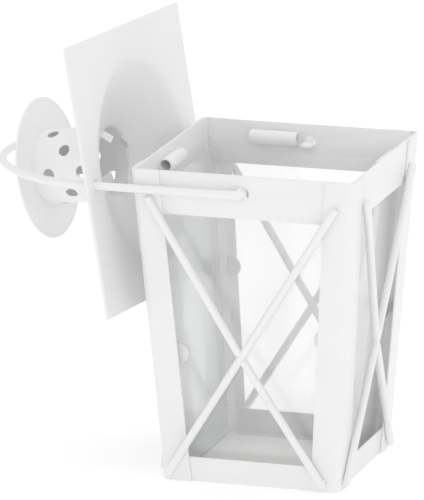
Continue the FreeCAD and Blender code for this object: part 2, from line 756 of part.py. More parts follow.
def build_rain_cap():
    """The flat round cap, with a hemmed rim, on the end of the chimney."""
    body = new_body("cap_disc", ON_LID)
    sketch = body_sketch(body, "cap_section", "XZ_Plane")
    rim = "(Dims.cap_diameter / 2)"
    top = f"({CAP_HEIGHT} + Dims.cap_thickness)"
    hem_top = f"({top} + Dims.cap_hem_thickness)"
    hem_edge = f"({rim} - Dims.cap_hem_width)"
    steps = [
        (rim, CAP_HEIGHT),
        (rim, hem_top),
        (hem_edge, hem_top),
        (hem_edge, top),
        ("0", top),
        ("0", CAP_HEIGHT),
    ]
    outline(sketch, ("0", CAP_HEIGHT), steps)
    revolved(body, sketch, "cap_turned")
    keep(body, "rain_cap")


def build_eyelets():
    """A flanged eyelet where each leg of the handle passes through the lid."""
    bore = EYELET_RADIUS
    barrel = f"({bore} + Dims.eyelet_wall)"
    flange = f"({barrel} + Dims.eyelet_flange)"
    low = "(-Dims.eyelet_flange_thickness)"
    high = "(Dims.lid_thickness + Dims.eyelet_flange_thickness)"
    for side, sign in (("front", "-"), ("back", "")):
        seat = at(x=f"{sign}{EYELET_X}", y=f"{sign}{EYELET_Y}")
        body = new_body("eyelet_" + side, ON_LID + " * " + seat)
        sketch = body_sketch(body, "eyelet_section_" + side, "XZ_Plane")
        steps = [
            (flange, low),
            (flange, "0"),
            (barrel, "0"),
            (barrel, "Dims.lid_thickness"),
            (flange, "Dims.lid_thickness"),
            (flange, high),
            (bore, high),
            (bore, low),
        ]
        outline(sketch, (bore, low), steps)
        revolved(body, sketch, "eyelet_turned_" + side)
        keep(body, "lid_eyelet_" + side)


# ---------------------------------------------------------------- build, check and write

def check():
    """Stop if any object failed, or a piece is empty, broken or not one solid."""
    for thing in doc.Objects:
        if "Invalid" in thing.State or "Error" in thing.State:
            raise RuntimeError(f"{thing.Name} failed: {thing.State}")
    for node in nodes:
        shape = node.Shape
        if shape.isNull() or not shape.isValid() or len(shape.Solids) != 1:
            raise RuntimeError(f"{node.Label} is not one sound solid")


def write():
    """Write each piece to its own file."""
    os.makedirs("parts", exist_ok=True)
    for node in nodes:
        node.Shape.exportStep(f"parts/{node.Label}.step")
    print(f"{len(nodes)} pieces written")


fill_sheet()
build_posts()
build_bands()
build_floor()
build_panes()
build_braces()
build_keepers()
build_clips()
build_handle()
build_lid_plate()
build_chimney()
build_rain_cap()
build_eyelets()
doc.recompute()
check()
write()
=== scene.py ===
"""Looks of a hurricane candle lantern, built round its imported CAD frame.

Sizes are in millimetres, as in the CAD source, and meshes are scaled to metres when a piece
is finished. The lantern stands on Z = 0 with its front towards -Y. Its handle and its lid
are open, towards -X.
"""

import logging
import math
from dataclasses import dataclass, field
from enum import Enum
from typing import Any, Iterable, Sequence

import bmesh
import bpy
from mathutils import Matrix, Vector

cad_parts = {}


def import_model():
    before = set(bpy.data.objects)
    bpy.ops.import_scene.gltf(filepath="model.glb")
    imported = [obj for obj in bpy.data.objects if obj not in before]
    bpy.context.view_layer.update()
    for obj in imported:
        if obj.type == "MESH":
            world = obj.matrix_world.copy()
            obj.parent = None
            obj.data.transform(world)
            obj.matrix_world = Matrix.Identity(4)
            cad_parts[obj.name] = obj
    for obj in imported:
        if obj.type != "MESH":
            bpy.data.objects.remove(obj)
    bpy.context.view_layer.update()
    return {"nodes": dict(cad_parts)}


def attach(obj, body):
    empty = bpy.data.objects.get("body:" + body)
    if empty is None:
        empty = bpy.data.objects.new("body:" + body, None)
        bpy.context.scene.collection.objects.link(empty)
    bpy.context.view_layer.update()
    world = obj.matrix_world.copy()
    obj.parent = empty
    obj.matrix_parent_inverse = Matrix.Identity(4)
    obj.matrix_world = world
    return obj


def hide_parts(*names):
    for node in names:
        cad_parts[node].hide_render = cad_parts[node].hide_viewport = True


METRES = 0.001
log = logging.getLogger("lantern")

Point = tuple[float, float]
Colour = tuple[float, float, float]


class Body(Enum):
    """The rigid bodies that pieces ride on."""

    FRAME = "lantern_body"
    HANDLE = "bail_handle"
    LID = "vented_lid"


class Slot(Enum):
    """The record's material slots."""

    STEEL = "painted_steel"
    WIRE = "painted_wire"
    FLOOR = "floor_steel"
    GLASS = "clear_glass"


class Side(Enum):
    """The lantern's sides, by their quarter turns from the front."""

    FRONT = 0
    RIGHT = 1
    BACK = 2
    LEFT = 3

    @property
    def label(self) -> str:
        """The side's name as the CAD nodes spell it."""
        return self.name.lower()

    @property
    def turn(self) -> Matrix:
        """The turn about Z that takes the front to this side."""
        return Matrix.Rotation(self.value * math.pi / 2, 4, "Z")


# ---------------------------------------------------------------- node graphs

class Value:
    """A number on a node's output, which Python operators turn into Math nodes."""

    def __init__(self, graph: "Graph", socket: bpy.types.NodeSocket) -> None:
        """Wrap a socket.

        Args:
            graph: The graph that new nodes are added to.
            socket: The output that carries the number.
        """
        self.graph = graph
        self.socket = socket

    def math(self, operation: str, *others: Any, clamp: bool = False) -> "Value":
        """Add a Math node.

        Args:
            operation: The node's operation.
            *others: The operands after this one.
            clamp: Whether the result is held between 0 and 1.

        Returns:
            The node's result.
        """
        settings = {"operation": operation, "use_clamp": clamp}
        inputs = dict(enumerate((self, *others)))
        return self.graph.value("ShaderNodeMath", settings, inputs)

    def __add__(self, other: Any) -> "Value":
        """This plus another."""
        return self.math("ADD", other)

    __radd__ = __add__

    def __sub__(self, other: Any) -> "Value":
        """This less another."""
        return self.math("SUBTRACT", other)

    def __rsub__(self, other: float) -> "Value":
        """A number less this."""
        return self.graph.value("ShaderNodeMath", {"operation": "SUBTRACT"}, {0: other, 1: self})

    def __mul__(self, other: Any) -> "Value":
        """This times another."""
        return self.math("MULTIPLY", other)

    __rmul__ = __mul__

    def __truediv__(self, other: Any) -> "Value":
        """This over another."""
        return self.math("DIVIDE", other)

    def step(self, low: float, high: float) -> "Value":
        """Ramp from 0 at low to 1 at high."""
        return ((self - low) * (1.0 / (high - low))).math("ADD", 0.0, clamp=True)


class Graph:
    """A shader or geometry node tree, with short ways to add and link nodes."""

    def __init__(self, tree: bpy.types.NodeTree) -> None:
        """Wrap a node tree.

        Args:
            tree: The tree to add nodes to.
        """
        self.tree = tree

    def node(self, kind: str, settings: dict[str, Any] | None = None,
             inputs: dict[Any, Any] | None = None) -> bpy.types.Node:
        """Add a node.

        Args:
            kind: The node's type.
            settings: Its own properties, set first.
            inputs: Values or links, by socket name or number.

        Returns:
            The new node.
        """
        node = self.tree.nodes.new(kind)
        for name, setting in (settings or {}).items():
            setattr(node, name, setting)
        self.feed(node, inputs or {})
        return node

    def feed(self, node: bpy.types.Node, inputs: dict[Any, Any]) -> None:
        """Set or link some of a node's sockets.

        Args:
            node: The node.
            inputs: Values or links, by socket name or number.
        """
        for key, given in inputs.items():
            if isinstance(given, Value):
                self.tree.links.new(given.socket, node.inputs[key])
            else:
                node.inputs[key].default_value = given

    def value(self, kind: str, settings: dict[str, Any] | None = None,
              inputs: dict[Any, Any] | None = None, output: Any = 0) -> Value:
        """Add a node and wrap one of its outputs.

        Args:
            kind: The node's type.
            settings: Its own properties, set first.
            inputs: Values or links, by socket name or number.
            output: The output's name or number.

        Returns:
            The wrapped output.
        """
        return Value(self, self.node(kind, settings, inputs).outputs[output])

    def bump(self, height: Value, distance: float, strength: float) -> Value:
        """A normal, from a height.

        Args:
            height: The height.
            distance: How far a height of 1 stands out, in metres.
            strength: Share of it that shows.

        Returns:
            The normal.
        """
        return self.value("ShaderNodeBump", inputs={"Height": height, "Distance": distance,
                                                    "Strength": strength})


# ---------------------------------------------------------------- finishes

class Finish:
    """Something that a piece can be dressed in.

    Attributes:
        label: Its material's name.
    """

    label: str

    def material(self) -> bpy.types.Material:
        """The Blender material, made once and then shared.

        Returns:
            The material.
        """
        found = bpy.data.materials.get(self.label)
        if found:
            return found
        made = bpy.data.materials.new(self.label)
        made.use_nodes = True
        made.node_tree.nodes.clear()
        graph = Graph(made.node_tree)
        shader = graph.node("ShaderNodeBsdfPrincipled")
        self.dress(graph, shader)
        graph.node("ShaderNodeOutputMaterial", inputs={0: Value(graph, shader.outputs[0])})
        return made

    def dress(self, graph: Graph, shader: bpy.types.Node) -> None:
        """Set the shader's sockets.

        Args:
            graph: The material's graph.
            shader: Its Principled shader.
        """
        raise NotImplementedError


@dataclass(frozen=True)
class Pattern:
    """Noise on object coordinates.

    Attributes:
        scale: Features per metre.
        detail: Octaves.
        stretch: Scale along each axis.
        ramp: Levels that become 0 and 1, or None for the plain noise.
    """

    scale: float
    detail: float = 3.0
    stretch: tuple[float, float, float] = (1.0, 1.0, 1.0)
    ramp: Point | None = None

    def on(self, graph: Graph) -> Value:
        """Add the pattern to a material.

        Args:
            graph: The material's graph.

        Returns:
            A value between 0 and 1.
        """
        place = graph.value("ShaderNodeTexCoord", output="Object")
        mapped = graph.value("ShaderNodeMapping", inputs={"Vector": place, "Scale": self.stretch})
        plain = graph.value("ShaderNodeTexNoise", inputs={"Vector": mapped, "Scale": self.scale,
                                                          "Detail": self.detail})
        return plain.step(*self.ramp) if self.ramp else plain


def colour_mix(graph: Graph, amount: Any, first: Any, second: Any) -> Value:
    """Blend two colours.

    Args:
        graph: The material's graph.
        amount: 0 for the first colour, 1 for the second.
        first: A colour, or a link.
        second: A colour, or a link.

    Returns:
        The blended colour.
    """
    ends = [end if isinstance(end, Value) else (*end, 1.0) for end in (first, second)]
    return graph.value("ShaderNodeMix", {"data_type": "RGBA"}, {0: amount, 6: ends[0], 7: ends[1]}, 2)


@dataclass(frozen=True)
class SatinPaint(Finish):
    """Sprayed white paint with a faint orange peel, thinner and greyer in places.

    Attributes:
        colour: The full coat.
        thin: Where the coat is thin.
        roughness: Of the full coat.
        peel: Height of the orange peel, in metres.
        runs: How strongly sags of paint show, 0 to 1.
        specks: Share of the surface with fine grit, 0 to 1.
        cloud: Patches where the coat is thin.
        streak: Upright streaks.
        grit: Grit caught in the coat.
        fine: The orange peel.
        sag: Sags of paint.
        specular: Strength of its shine.
        relief: Share of the peel that shows.
    """

    label: str = "sheet_paint"
    colour: Colour = (0.85, 0.842, 0.842)
    thin: Colour = (0.76, 0.755, 0.75)
    roughness: float = 0.34
    peel: float = 0.00006
    runs: float = 0.25
    specks: float = 0.3
    cloud: Pattern = Pattern(28.0, 4.0, ramp=(0.42, 0.72))
    streak: Pattern = Pattern(90.0, 2.0, (1.0, 1.0, 0.12), (0.5, 0.8))
    grit: Pattern = Pattern(1400.0, 1.0, ramp=(0.71, 0.76))
    fine: Pattern = Pattern(620.0, 2.0)
    sag: Pattern = Pattern(110.0, 2.0, (1.0, 1.0, 0.35))
    specular: float = 0.45
    relief: float = 0.8

    def dress(self, graph: Graph, shader: bpy.types.Node) -> None:
        """Cloud, grit and orange peel, on the piece's own coordinates."""
        cloud, grit, fine = self.cloud.on(graph), self.grit.on(graph), self.fine.on(graph)
        streaks = self.streak.on(graph) * (0.12 * self.runs)
        worn = cloud * 0.16 + streaks + grit * (0.35 * self.specks)
        sags = self.sag.on(graph) * (0.9 * self.runs + 0.2)
        height = fine * 0.55 + sags + grit * 0.25
        graph.feed(shader, {
            "Base Color": colour_mix(graph, worn, self.colour, self.thin),
            "Roughness": self.roughness + cloud * 0.08 + fine * 0.06,
            "Specular IOR Level": self.specular,
            "Normal": graph.bump(height, self.peel, self.relief),
        })


@dataclass(frozen=True)
class FloorSheet(Finish):
    """The floor's thin paint, warmer and greyer, scuffed, with soot dust.

    Attributes:
        colour: The paint.
        scuff: Rubbed patches.
        dust: Dust that gathers in spots.
        roughness: Where it isn't scuffed.
        grain: Height of the coat's grain, in metres.
        relief: Share of the grain that shows.
        scuffs: Rubbed patches, drawn out one way.
        spots: Where the dust lies.
        coat: The coat's grain.
    """

    label: str = "floor_paint"
    colour: Colour = (0.885, 0.88, 0.86)
    scuff: Colour = (0.92, 0.915, 0.905)
    dust: Colour = (0.50, 0.48, 0.44)
    roughness: float = 0.45
    grain: float = 0.00006
    relief: float = 0.7
    scuffs: Pattern = Pattern(70.0, 5.0, (1.0, 0.25, 1.0), (0.45, 0.75))
    spots: Pattern = Pattern(420.0, ramp=(0.66, 0.78))
    coat: Pattern = Pattern(500.0)

    def dress(self, graph: Graph, shader: bpy.types.Node) -> None:
        """Scuffs one way, dust in spots, a dull sheen."""
        scuffs = self.scuffs.on(graph)
        rubbed = colour_mix(graph, scuffs * 0.6, self.colour, self.scuff)
        graph.feed(shader, {
            "Base Color": colour_mix(graph, self.spots.on(graph) * 0.35, rubbed, self.dust),
            "Roughness": self.roughness + scuffs * 0.2,
            "Normal": graph.bump(self.coat.on(graph), self.grain, self.relief),
        })


@dataclass(frozen=True)
class SheetGlass(Finish):
    """Clear float glass, with the faintest haze of handling marks.

    Attributes:
        tint: Its faint green.
        body: How much of the tint shows when seen square on.
        haze: How much more shows where it has been handled.
        shine: How much more solid it is at a glance.
        mirror: Share of its solid part that mirrors.
        index: Its index of refraction.
        polish: Roughness where it is clean.
        wave: Height of its ripple, in metres.
        relief: Share of the ripple that shows.
        smears: Handling marks.
        ripple: The unevenness of drawn sheet.
    """

    label: str = "pane_glass"
    tint: Colour = (0.93, 0.95, 0.94)
    body: float = 0.12
    haze: float = 0.05
    shine: float = 0.7
    mirror: float = 0.35
    index: float = 1.5
    polish: float = 0.02
    wave: float = 0.0002
    relief: float = 0.25
    smears: Pattern = Pattern(34.0, 5.0, (1.0, 1.0, 0.4), (0.5, 0.8))
    ripple: Pattern = Pattern(9.0, 1.0)

    def dress(self, graph: Graph, shader: bpy.types.Node) -> None:
        """See-through, more solid at a glance, with smears that dull its polish."""
        smear = self.smears.on(graph)
        glance = graph.value("ShaderNodeFresnel", inputs={"IOR": self.index})
        graph.feed(shader, {
            "Base Color": (*self.tint, 1.0),
            "Metallic": self.mirror,
            "Alpha": self.body + smear * self.haze + glance * self.shine,
            "Roughness": self.polish + smear * 0.15,
            "Normal": graph.bump(self.ripple.on(graph), self.wave, self.relief),
        })


@dataclass(frozen=True)
class CutEdge(Finish):
    """The sawn and ground edge of a pane, where the glass shows its green.

    Attributes:
        deep: The darker green.
        pale: The lighter green.
        roughness: Where it is smoothest.
        nick: Height of its chips, in metres.
        relief: Share of the chips that shows.
        chips: Where the wheel has chipped it.
        bands: Broad changes of its green.
    """

    label: str = "pane_edge"
    deep: Colour = (0.015, 0.034, 0.028)
    pale: Colour = (0.09, 0.15, 0.125)
    roughness: float = 0.22
    nick: float = 0.0002
    relief: float = 0.6
    chips: Pattern = Pattern(380.0, 4.0)
    bands: Pattern = Pattern(30.0, 2.0, ramp=(0.4, 0.65))

    def dress(self, graph: Graph, shader: bpy.types.Node) -> None:
        """Broken green, frosted by the wheel."""
        chips = self.chips.on(graph)
        amount = self.bands.on(graph) * 0.75 + chips * 0.25
        graph.feed(shader, {
            "Base Color": colour_mix(graph, amount, self.deep, self.pale),
            "Roughness": self.roughness + chips * 0.3,
            "Normal": graph.bump(chips, self.nick, self.relief),
        })


# ---------------------------------------------------------------- shapes

def mesh_from(name: str, points: Sequence[Sequence[float]],
              faces: Sequence[Sequence[int]]) -> bpy.types.Mesh:
    """Make a mesh and point its faces outwards.

    Args:
        name: The mesh's name.
        points: Its points, in millimetres.
        faces: Point numbers of each face.

    Returns:
        The mesh.
    """
    mesh = bpy.data.meshes.new(name)
    mesh.from_pydata([tuple(point) for point in points], [], [tuple(face) for face in faces])
    working = bmesh.new()
    working.from_mesh(mesh)
    bmesh.ops.remove_doubles(working, verts=working.verts, dist=1e-4)
    bmesh.ops.recalc_face_normals(working, faces=working.faces)
    working.to_mesh(mesh)
    working.free()
    return mesh


def arc(centre: Point, radius: float, start: float, end: float, steps: int) -> list[Point]:
    """Points on an arc.

    Args:
        centre: Its centre.
        radius: Its radius.
        start: First angle, in degrees.
        end: Last angle, in degrees.
        steps: Divisions.

    Returns:
        The points, both ends included.
    """
    angles = [math.radians(start + (end - start) * step / steps) for step in range(steps + 1)]
    return [(centre[0] + radius * math.cos(a), centre[1] + radius * math.sin(a)) for a in angles]


def eased(outline: Sequence[Point], radius: float, steps: int = 3) -> list[Point]:
    """Round every corner of a closed outline.

    Args:
        outline: Its corners.
        radius: How far back from a corner the rounding starts.
        steps: Divisions of each rounding.

    Returns:
        The rounded outline.
    """
    result = []
    count = len(outline)
    for number in range(count):
        corner = Vector(outline[number])
        before = Vector(outline[number - 1]) - corner
        after = Vector(outline[(number + 1) % count]) - corner
        reach = min(radius, before.length * 0.45, after.length * 0.45)
        first, last = corner + before.normalized() * reach, corner + after.normalized() * reach
        for step in range(steps + 1):
            share = step / steps
            point = first * (1 - share) ** 2 + corner * 2 * share * (1 - share) + last * share ** 2
            result.append((point.x, point.y))
    return result


def turned(name: str, outline: Sequence[Point], steps: int = 96) -> bpy.types.Mesh:
    """Turn a closed outline of (radius, height) about Z.

    Args:
        name: The mesh's name.
        outline: The section; points on the axis have a radius of 0.
        steps: Divisions of the turn.

    Returns:
        The mesh.
    """
    points, faces = [], []
    count = len(outline)
    for step in range(steps):
        angle = 2 * math.pi * step / steps
        points += [(r * math.cos(angle), r * math.sin(angle), z) for r, z in outline]
    for step in range(steps):
        here, there = step * count, (step + 1) % steps * count
        for number in range(count):
            following = (number + 1) % count
            on_axis = (outline[number][0] == 0, outline[following][0] == 0)
            if all(on_axis):
                continue
            face = [here + number, here + following, there + following, there + number]
            if on_axis[0]:
                face.pop()
            elif on_axis[1]:
                face.pop(2)
            faces.append(face)
    return mesh_from(name, points, faces)


def prism(name: str, outline: Sequence[Point], length: float) -> bpy.types.Mesh:
    """Push a closed outline along Z, centred on 0.

    Args:
        name: The mesh's name.
        outline: The section.
        length: How long.

    Returns:
        The mesh.
    """
    count = len(outline)
    points = [(x, y, z) for z in (-length / 2, length / 2) for x, y in outline]
    faces = [list(range(count))[::-1], list(range(count, 2 * count))]
    faces += [[n, (n + 1) % count, (n + 1) % count + count, n + count] for n in range(count)]
    return mesh_from(name, points, faces)


def wire(name: str, path: Sequence[Vector], radii: Sequence[float], sides: int = 20,
         flat: float = 1.0, flat_towards: Vector | None = None) -> bpy.types.Mesh:
    """Sweep a round bar along a path, closed at both ends.

    Args:
        name: The mesh's name.
        path: The centre line.
        radii: The radius at each point of it.
        sides: Divisions of the round.
        flat: How far the bar reaches on its flattened side, as a share of its radius.
        flat_towards: The direction of the flattened side.

    Returns:
        The mesh.
    """
    points, faces = [], []
    last = len(path) - 1
    across = None
    for number, centre in enumerate(path):
        ahead = (path[min(number + 1, last)] - path[max(number - 1, 0)]).normalized()
        if across is None:
            across = flat_towards or Vector((0, 0, 1))
        across = (across - ahead * across.dot(ahead)).normalized()
        other = ahead.cross(across)
        for side in range(sides):
            angle = 2 * math.pi * side / sides
            reach = min(math.cos(angle), flat)
            points.append(centre + (across * reach + other * math.sin(angle)) * radii[number])
    for number in range(last):
        for side in range(sides):
            a, b = number * sides + side, number * sides + (side + 1) % sides
            faces.append([a, b, b + sides, a + sides])
    faces.append(list(range(sides)))
    faces.append([last * sides + side for side in range(sides)])
    return mesh_from(name, points, faces)


def in_scene(name: str, data: Any) -> bpy.types.Object:
    """Make an object and put it in the scene.

    Args:
        name: Its name.
        data: Its mesh, light or camera.

    Returns:
        The object.
    """
    made = bpy.data.objects.new(name, data)
    bpy.context.scene.collection.objects.link(made)
    return made


def run_modifier(mesh: bpy.types.Mesh, kind: str, settings: dict[str, Any]) -> bpy.types.Mesh:
    """Apply one modifier to a mesh.

    Args:
        mesh: The mesh.
        kind: The modifier's type.
        settings: Its properties.

    Returns:
        The resulting mesh.
    """
    holder = in_scene("holder", mesh)
    modifier = holder.modifiers.new("work", kind)
    for name, setting in settings.items():
        setattr(modifier, name, setting)
    result = evaluated(holder)
    bpy.data.objects.remove(holder)
    return result


def bevelled(mesh: bpy.types.Mesh, width: float, segments: int, angle: float) -> bpy.types.Mesh:
    """Round a mesh's sharp edges.

    Args:
        mesh: The mesh.
        width: Width of the rounding.
        segments: Its divisions.
        angle: Edges sharper than this many degrees are rounded.

    Returns:
        The resulting mesh.
    """
    return run_modifier(mesh, "BEVEL", {"width": width, "segments": segments, "limit_method": "ANGLE",
                                        "angle_limit": math.radians(angle)})


def evaluated(holder: bpy.types.Object) -> bpy.types.Mesh:
    """The plain mesh that an object's modifiers make.

    Args:
        holder: The object.

    Returns:
        A new mesh.
    """
    depsgraph = bpy.context.evaluated_depsgraph_get()
    return bpy.data.meshes.new_from_object(holder.evaluated_get(depsgraph), depsgraph=depsgraph)


def softened(node: bpy.types.Object, width: float, segments: int = 3) -> bpy.types.Mesh:
    """A copy of a CAD node's mesh, in millimetres, with its edges rounded as paint leaves them.

    Args:
        node: The CAD node's object.
        width: Width of the rounding.
        segments: Its divisions.

    Returns:
        The new mesh.
    """
    mesh = node.data.copy()
    mesh.materials.clear()
    mesh.transform(Matrix.Scale(1 / METRES, 4))
    working = bmesh.new()
    working.from_mesh(mesh)
    bmesh.ops.remove_doubles(working, verts=working.verts, dist=2e-3)
    bmesh.ops.dissolve_limit(working, angle_limit=math.radians(0.6), verts=working.verts,
                             edges=working.edges)
    working.to_mesh(mesh)
    working.free()
    return bevelled(mesh, width, segments, 38.0)


def joined(name: str, meshes: Iterable[bpy.types.Mesh]) -> bpy.types.Mesh:
    """Put several meshes into one.

    Args:
        name: The new mesh's name.
        meshes: What to join.

    Returns:
        The mesh that holds them all.
    """
    working = bmesh.new()
    for mesh in meshes:
        working.from_mesh(mesh)
    result = bpy.data.meshes.new(name)
    working.to_mesh(result)
    working.free()
    return result


@dataclass
class Piece:
    """A finished piece.

    Attributes:
        name: Its object's name.
        mesh: Its mesh, in millimetres.
        body: The body it rides on.
        slot: The record's material slot.
        finishes: Its finishes, in the order of the mesh's material numbers.
        stands_for: The CAD nodes that it takes the place of.
        crease: Edges sharper than this many degrees stay sharp.
    """

    name: str
    mesh: bpy.types.Mesh
    body: Body
    slot: Slot
    finishes: Sequence[Finish]
    stands_for: Sequence[str] = ()
    crease: float = 35.0

    def place(self) -> bpy.types.Object:
        """Make the object, dress it and hand it to its body.

        Returns:
            The object.
        """
        self.mesh.name = self.name
        self.mesh.transform(Matrix.Scale(METRES, 4))
        self.mesh.materials.clear()
        for finish in self.finishes:
            self.mesh.materials.append(finish.material())
        self.mesh.shade_smooth()
        self.mesh.set_sharp_from_angle(angle=math.radians(self.crease))
        made = in_scene(self.name, self.mesh)
        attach(made, self.body.value)
        if self.stands_for:
            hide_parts(*self.stands_for)
        log.info("%s: %d faces, rides on %s", self.name, len(self.mesh.polygons), self.body.value)
        return made


# ---------------------------------------------------------------- repeating parts

class Recipe:
    """A geometry node tree with named inputs, run on a mesh to give a new one."""

    SOCKETS = {float: "NodeSocketFloat", int: "NodeSocketInt", bpy.types.Material: "NodeSocketMaterial"}

    def __init__(self, name: str, values: dict[str, Any]) -> None:
        """Start a tree.

        Args:
            name: The tree's name.
            values: Its inputs after the geometry, by name. One is called Finish.
        """
        self.values = values
        self.tree = bpy.data.node_groups.new(name, "GeometryNodeTree")
        self.tree.interface.new_socket(name="Geometry", in_out="INPUT", socket_type="NodeSocketGeometry")
        self.identifiers = {}
        for label, value in values.items():
            kind = self.SOCKETS[type(value)]
            socket = self.tree.interface.new_socket(name=label, in_out="INPUT", socket_type=kind)
            self.identifiers[label] = socket.identifier
        self.tree.interface.new_socket(name="Geometry", in_out="OUTPUT", socket_type="NodeSocketGeometry")
        self.graph = Graph(self.tree)
        self.start = self.graph.node("NodeGroupInput")

    def given(self, label: str) -> Value:
        """One of the tree's inputs."""
        return Value(self.graph, self.start.outputs[label])

    def finish(self, geometry: Value) -> None:
        """Realize what was instanced, give it its material, and end the tree.

        Args:
            geometry: What the tree has made.
        """
        real = self.graph.value("GeometryNodeRealizeInstances", inputs={0: geometry})
        finish = self.given("Finish")
        dressed = self.graph.value("GeometryNodeSetMaterial", inputs={0: real, "Material": finish})
        self.graph.node("NodeGroupOutput", inputs={0: dressed})

    def run(self, mesh: bpy.types.Mesh) -> bpy.types.Mesh:
        """Run the tree.

        Args:
            mesh: What it starts from.

        Returns:
            The mesh that it makes.
        """
        holder = in_scene("holder", mesh)
        modifier = holder.modifiers.new("recipe", "NODES")
        modifier.node_group = self.tree
        for label, given in self.values.items():
            modifier[self.identifiers[label]] = given
        result = evaluated(holder)
        bpy.data.objects.remove(holder)
        return result


@dataclass
class WeldBeads:
    """Little lumps of weld under the paint.

    Attributes:
        radius: Of a bead.
        unevenness: How far beads differ in size, as a share.
        squash: Height of a bead, as a share of its width.
        lump_scale: Lumps per millimetre.
        lump_reach: How far lumps stand out, in millimetres.
        seed: Fixes the irregular sizes.
    """

    radius: float = 1.15
    unevenness: float = 0.3
    squash: float = 0.8
    lump_scale: float = 0.9
    lump_reach: float = 1.6
    seed: int = 7

    def build(self, places: Sequence[Vector], finish: Finish) -> bpy.types.Mesh:
        """Put one lumpy bead at each place.

        Args:
            places: Where the beads are.
            finish: Their finish.

        Returns:
            The beads' mesh.
        """
        recipe = Recipe("weld_beads", {"Radius": self.radius, "Unevenness": self.unevenness,
                                       "Seed": self.seed, "Finish": finish.material()})
        graph, spread = recipe.graph, recipe.given("Unevenness")
        dots = graph.value("GeometryNodeMeshToPoints", inputs={0: recipe.given("Geometry")})
        ball = graph.value("GeometryNodeMeshIcoSphere", inputs={"Radius": recipe.given("Radius"),
                                                                "Subdivisions": 3})
        size = graph.value("FunctionNodeRandomValue", {"data_type": "FLOAT"},
                           {"Seed": recipe.given("Seed"), 2: 1.0 - spread, 3: 1.0 + spread}, 1)
        scale = graph.value("ShaderNodeCombineXYZ", inputs={0: size, 1: size, 2: size * self.squash})
        beads = graph.value("GeometryNodeInstanceOnPoints", inputs={"Points": dots, "Instance": ball,
                                                                   "Scale": scale})
        real = graph.value("GeometryNodeRealizeInstances", inputs={0: beads})
        lumps = graph.value("ShaderNodeTexNoise", inputs={"Scale": self.lump_scale, "Detail": 2.0}) - 0.5
        push = {0: graph.value("GeometryNodeInputNormal"), "Scale": lumps * spread * self.lump_reach}
        offset = graph.value("ShaderNodeVectorMath", {"operation": "SCALE"}, push)
        recipe.finish(graph.value("GeometryNodeSetPosition", inputs={0: real, "Offset": offset}))
        dots_mesh = bpy.data.meshes.new("bead_places")
        dots_mesh.from_pydata([tuple(place) for place in places], [], [])
        return recipe.run(dots_mesh)


@dataclass
class VentTube:
    """The chimney's tube, pierced by staggered rows of holes.

    Attributes:
        radius: Outside.
        wall: Sheet thickness.
        low: Height of the lower end.
        high: Height of the upper end.
        hole: Radius of a vent hole.
        rows: Rows of holes.
        per_row: Holes in a row.
        first: Height of the first row.
        pitch: From one row to the next.
        turn: Angle of the first hole, in degrees.
        sides: Divisions of the tube.
        drill_sides: Divisions of a drill.
        drill_walls: Length of a drill, in wall thicknesses.
        overrun: How far the core runs past the tube's ends.
        burr: Rounding of the holes' edges.
    """

    radius: float = 23.5
    wall: float = 0.8
    low: float = 21.11
    high: float = 65.6
    hole: float = 3.75
    rows: int = 3
    per_row: int = 5
    first: float = 32.5
    pitch: float = 11.3
    turn: float = 51.0
    sides: int = 120
    drill_sides: int = 40
    drill_walls: float = 9.0
    overrun: float = 5.0
    burr: float = 0.16

    def build(self, finish: Finish) -> bpy.types.Mesh:
        """Take a core, and drills on staggered rows, from a drum.

        Args:
            finish: The tube's finish.

        Returns:
            The tube's mesh.
        """
        names = ("radius", "wall", "low", "high", "hole", "rows", "per_row", "first", "pitch")
        values = {name.capitalize(): getattr(self, name) for name in names}
        values |= {"Turn": math.radians(self.turn), "Finish": finish.material()}
        recipe = Recipe("vent_tube", values)
        graph, given = recipe.graph, recipe.given
        number = graph.value("GeometryNodeInputIndex")
        row = (number / given("Per_row")).math("FLOOR")
        step = given("Per_row").math("POWER", -1.0) * (2 * math.pi)
        angle = given("Turn") + (number + row * 0.5) * step
        across, along = angle.math("COSINE"), angle.math("SINE")
        away = graph.value("ShaderNodeCombineXYZ", inputs={0: across, 1: along})
        height = given("First") + row * given("Pitch")
        place = graph.value("ShaderNodeCombineXYZ", inputs={0: across * given("Radius"),
                                                            1: along * given("Radius"), 2: height})
        spots = graph.value("GeometryNodePoints", inputs={"Count": given("Rows") * given("Per_row"),
                                                          "Position": place})
        depth = given("Wall") * self.drill_walls
        drill = graph.value("GeometryNodeMeshCylinder", inputs={"Vertices": self.drill_sides,
                                                                "Radius": given("Hole"), "Depth": depth})
        aim = graph.value("FunctionNodeAlignRotationToVector", {"axis": "Z"}, {"Vector": away})
        drills = graph.value("GeometryNodeInstanceOnPoints", inputs={"Points": spots, "Instance": drill,
                                                                    "Rotation": aim})
        cutters = graph.value("GeometryNodeRealizeInstances", inputs={0: drills})
        blank = self._drum(recipe, given("Radius"), 0.0)
        core = self._drum(recipe, given("Radius") - given("Wall"), self.overrun)
        cut = graph.node("GeometryNodeMeshBoolean", {"operation": "DIFFERENCE"}, {"Mesh 1": blank})
        for cutter in (core, cutters):
            graph.feed(cut, {"Mesh 2": cutter})
        recipe.finish(Value(graph, cut.outputs["Mesh"]))
        return recipe.run(bpy.data.meshes.new("no_start"))

    def _drum(self, recipe: Recipe, radius: Value, extra: float) -> Value:
        """A solid drum from the tube's low end to its high end.

        Args:
            recipe: The tree to add it to.
            radius: Its radius.
            extra: How far it runs past both ends.

        Returns:
            The drum's geometry.
        """
        graph, low, high = recipe.graph, recipe.given("Low"), recipe.given("High")
        drum = graph.value("GeometryNodeMeshCylinder", inputs={
            "Vertices": self.sides, "Side Segments": 12, "Radius": radius, "Depth": high - low + 2 * extra})
        lift = graph.value("ShaderNodeCombineXYZ", inputs={2: (high + low) * 0.5})
        return graph.value("GeometryNodeTransform", inputs={0: drum, "Translation": lift})


# ---------------------------------------------------------------- the lantern

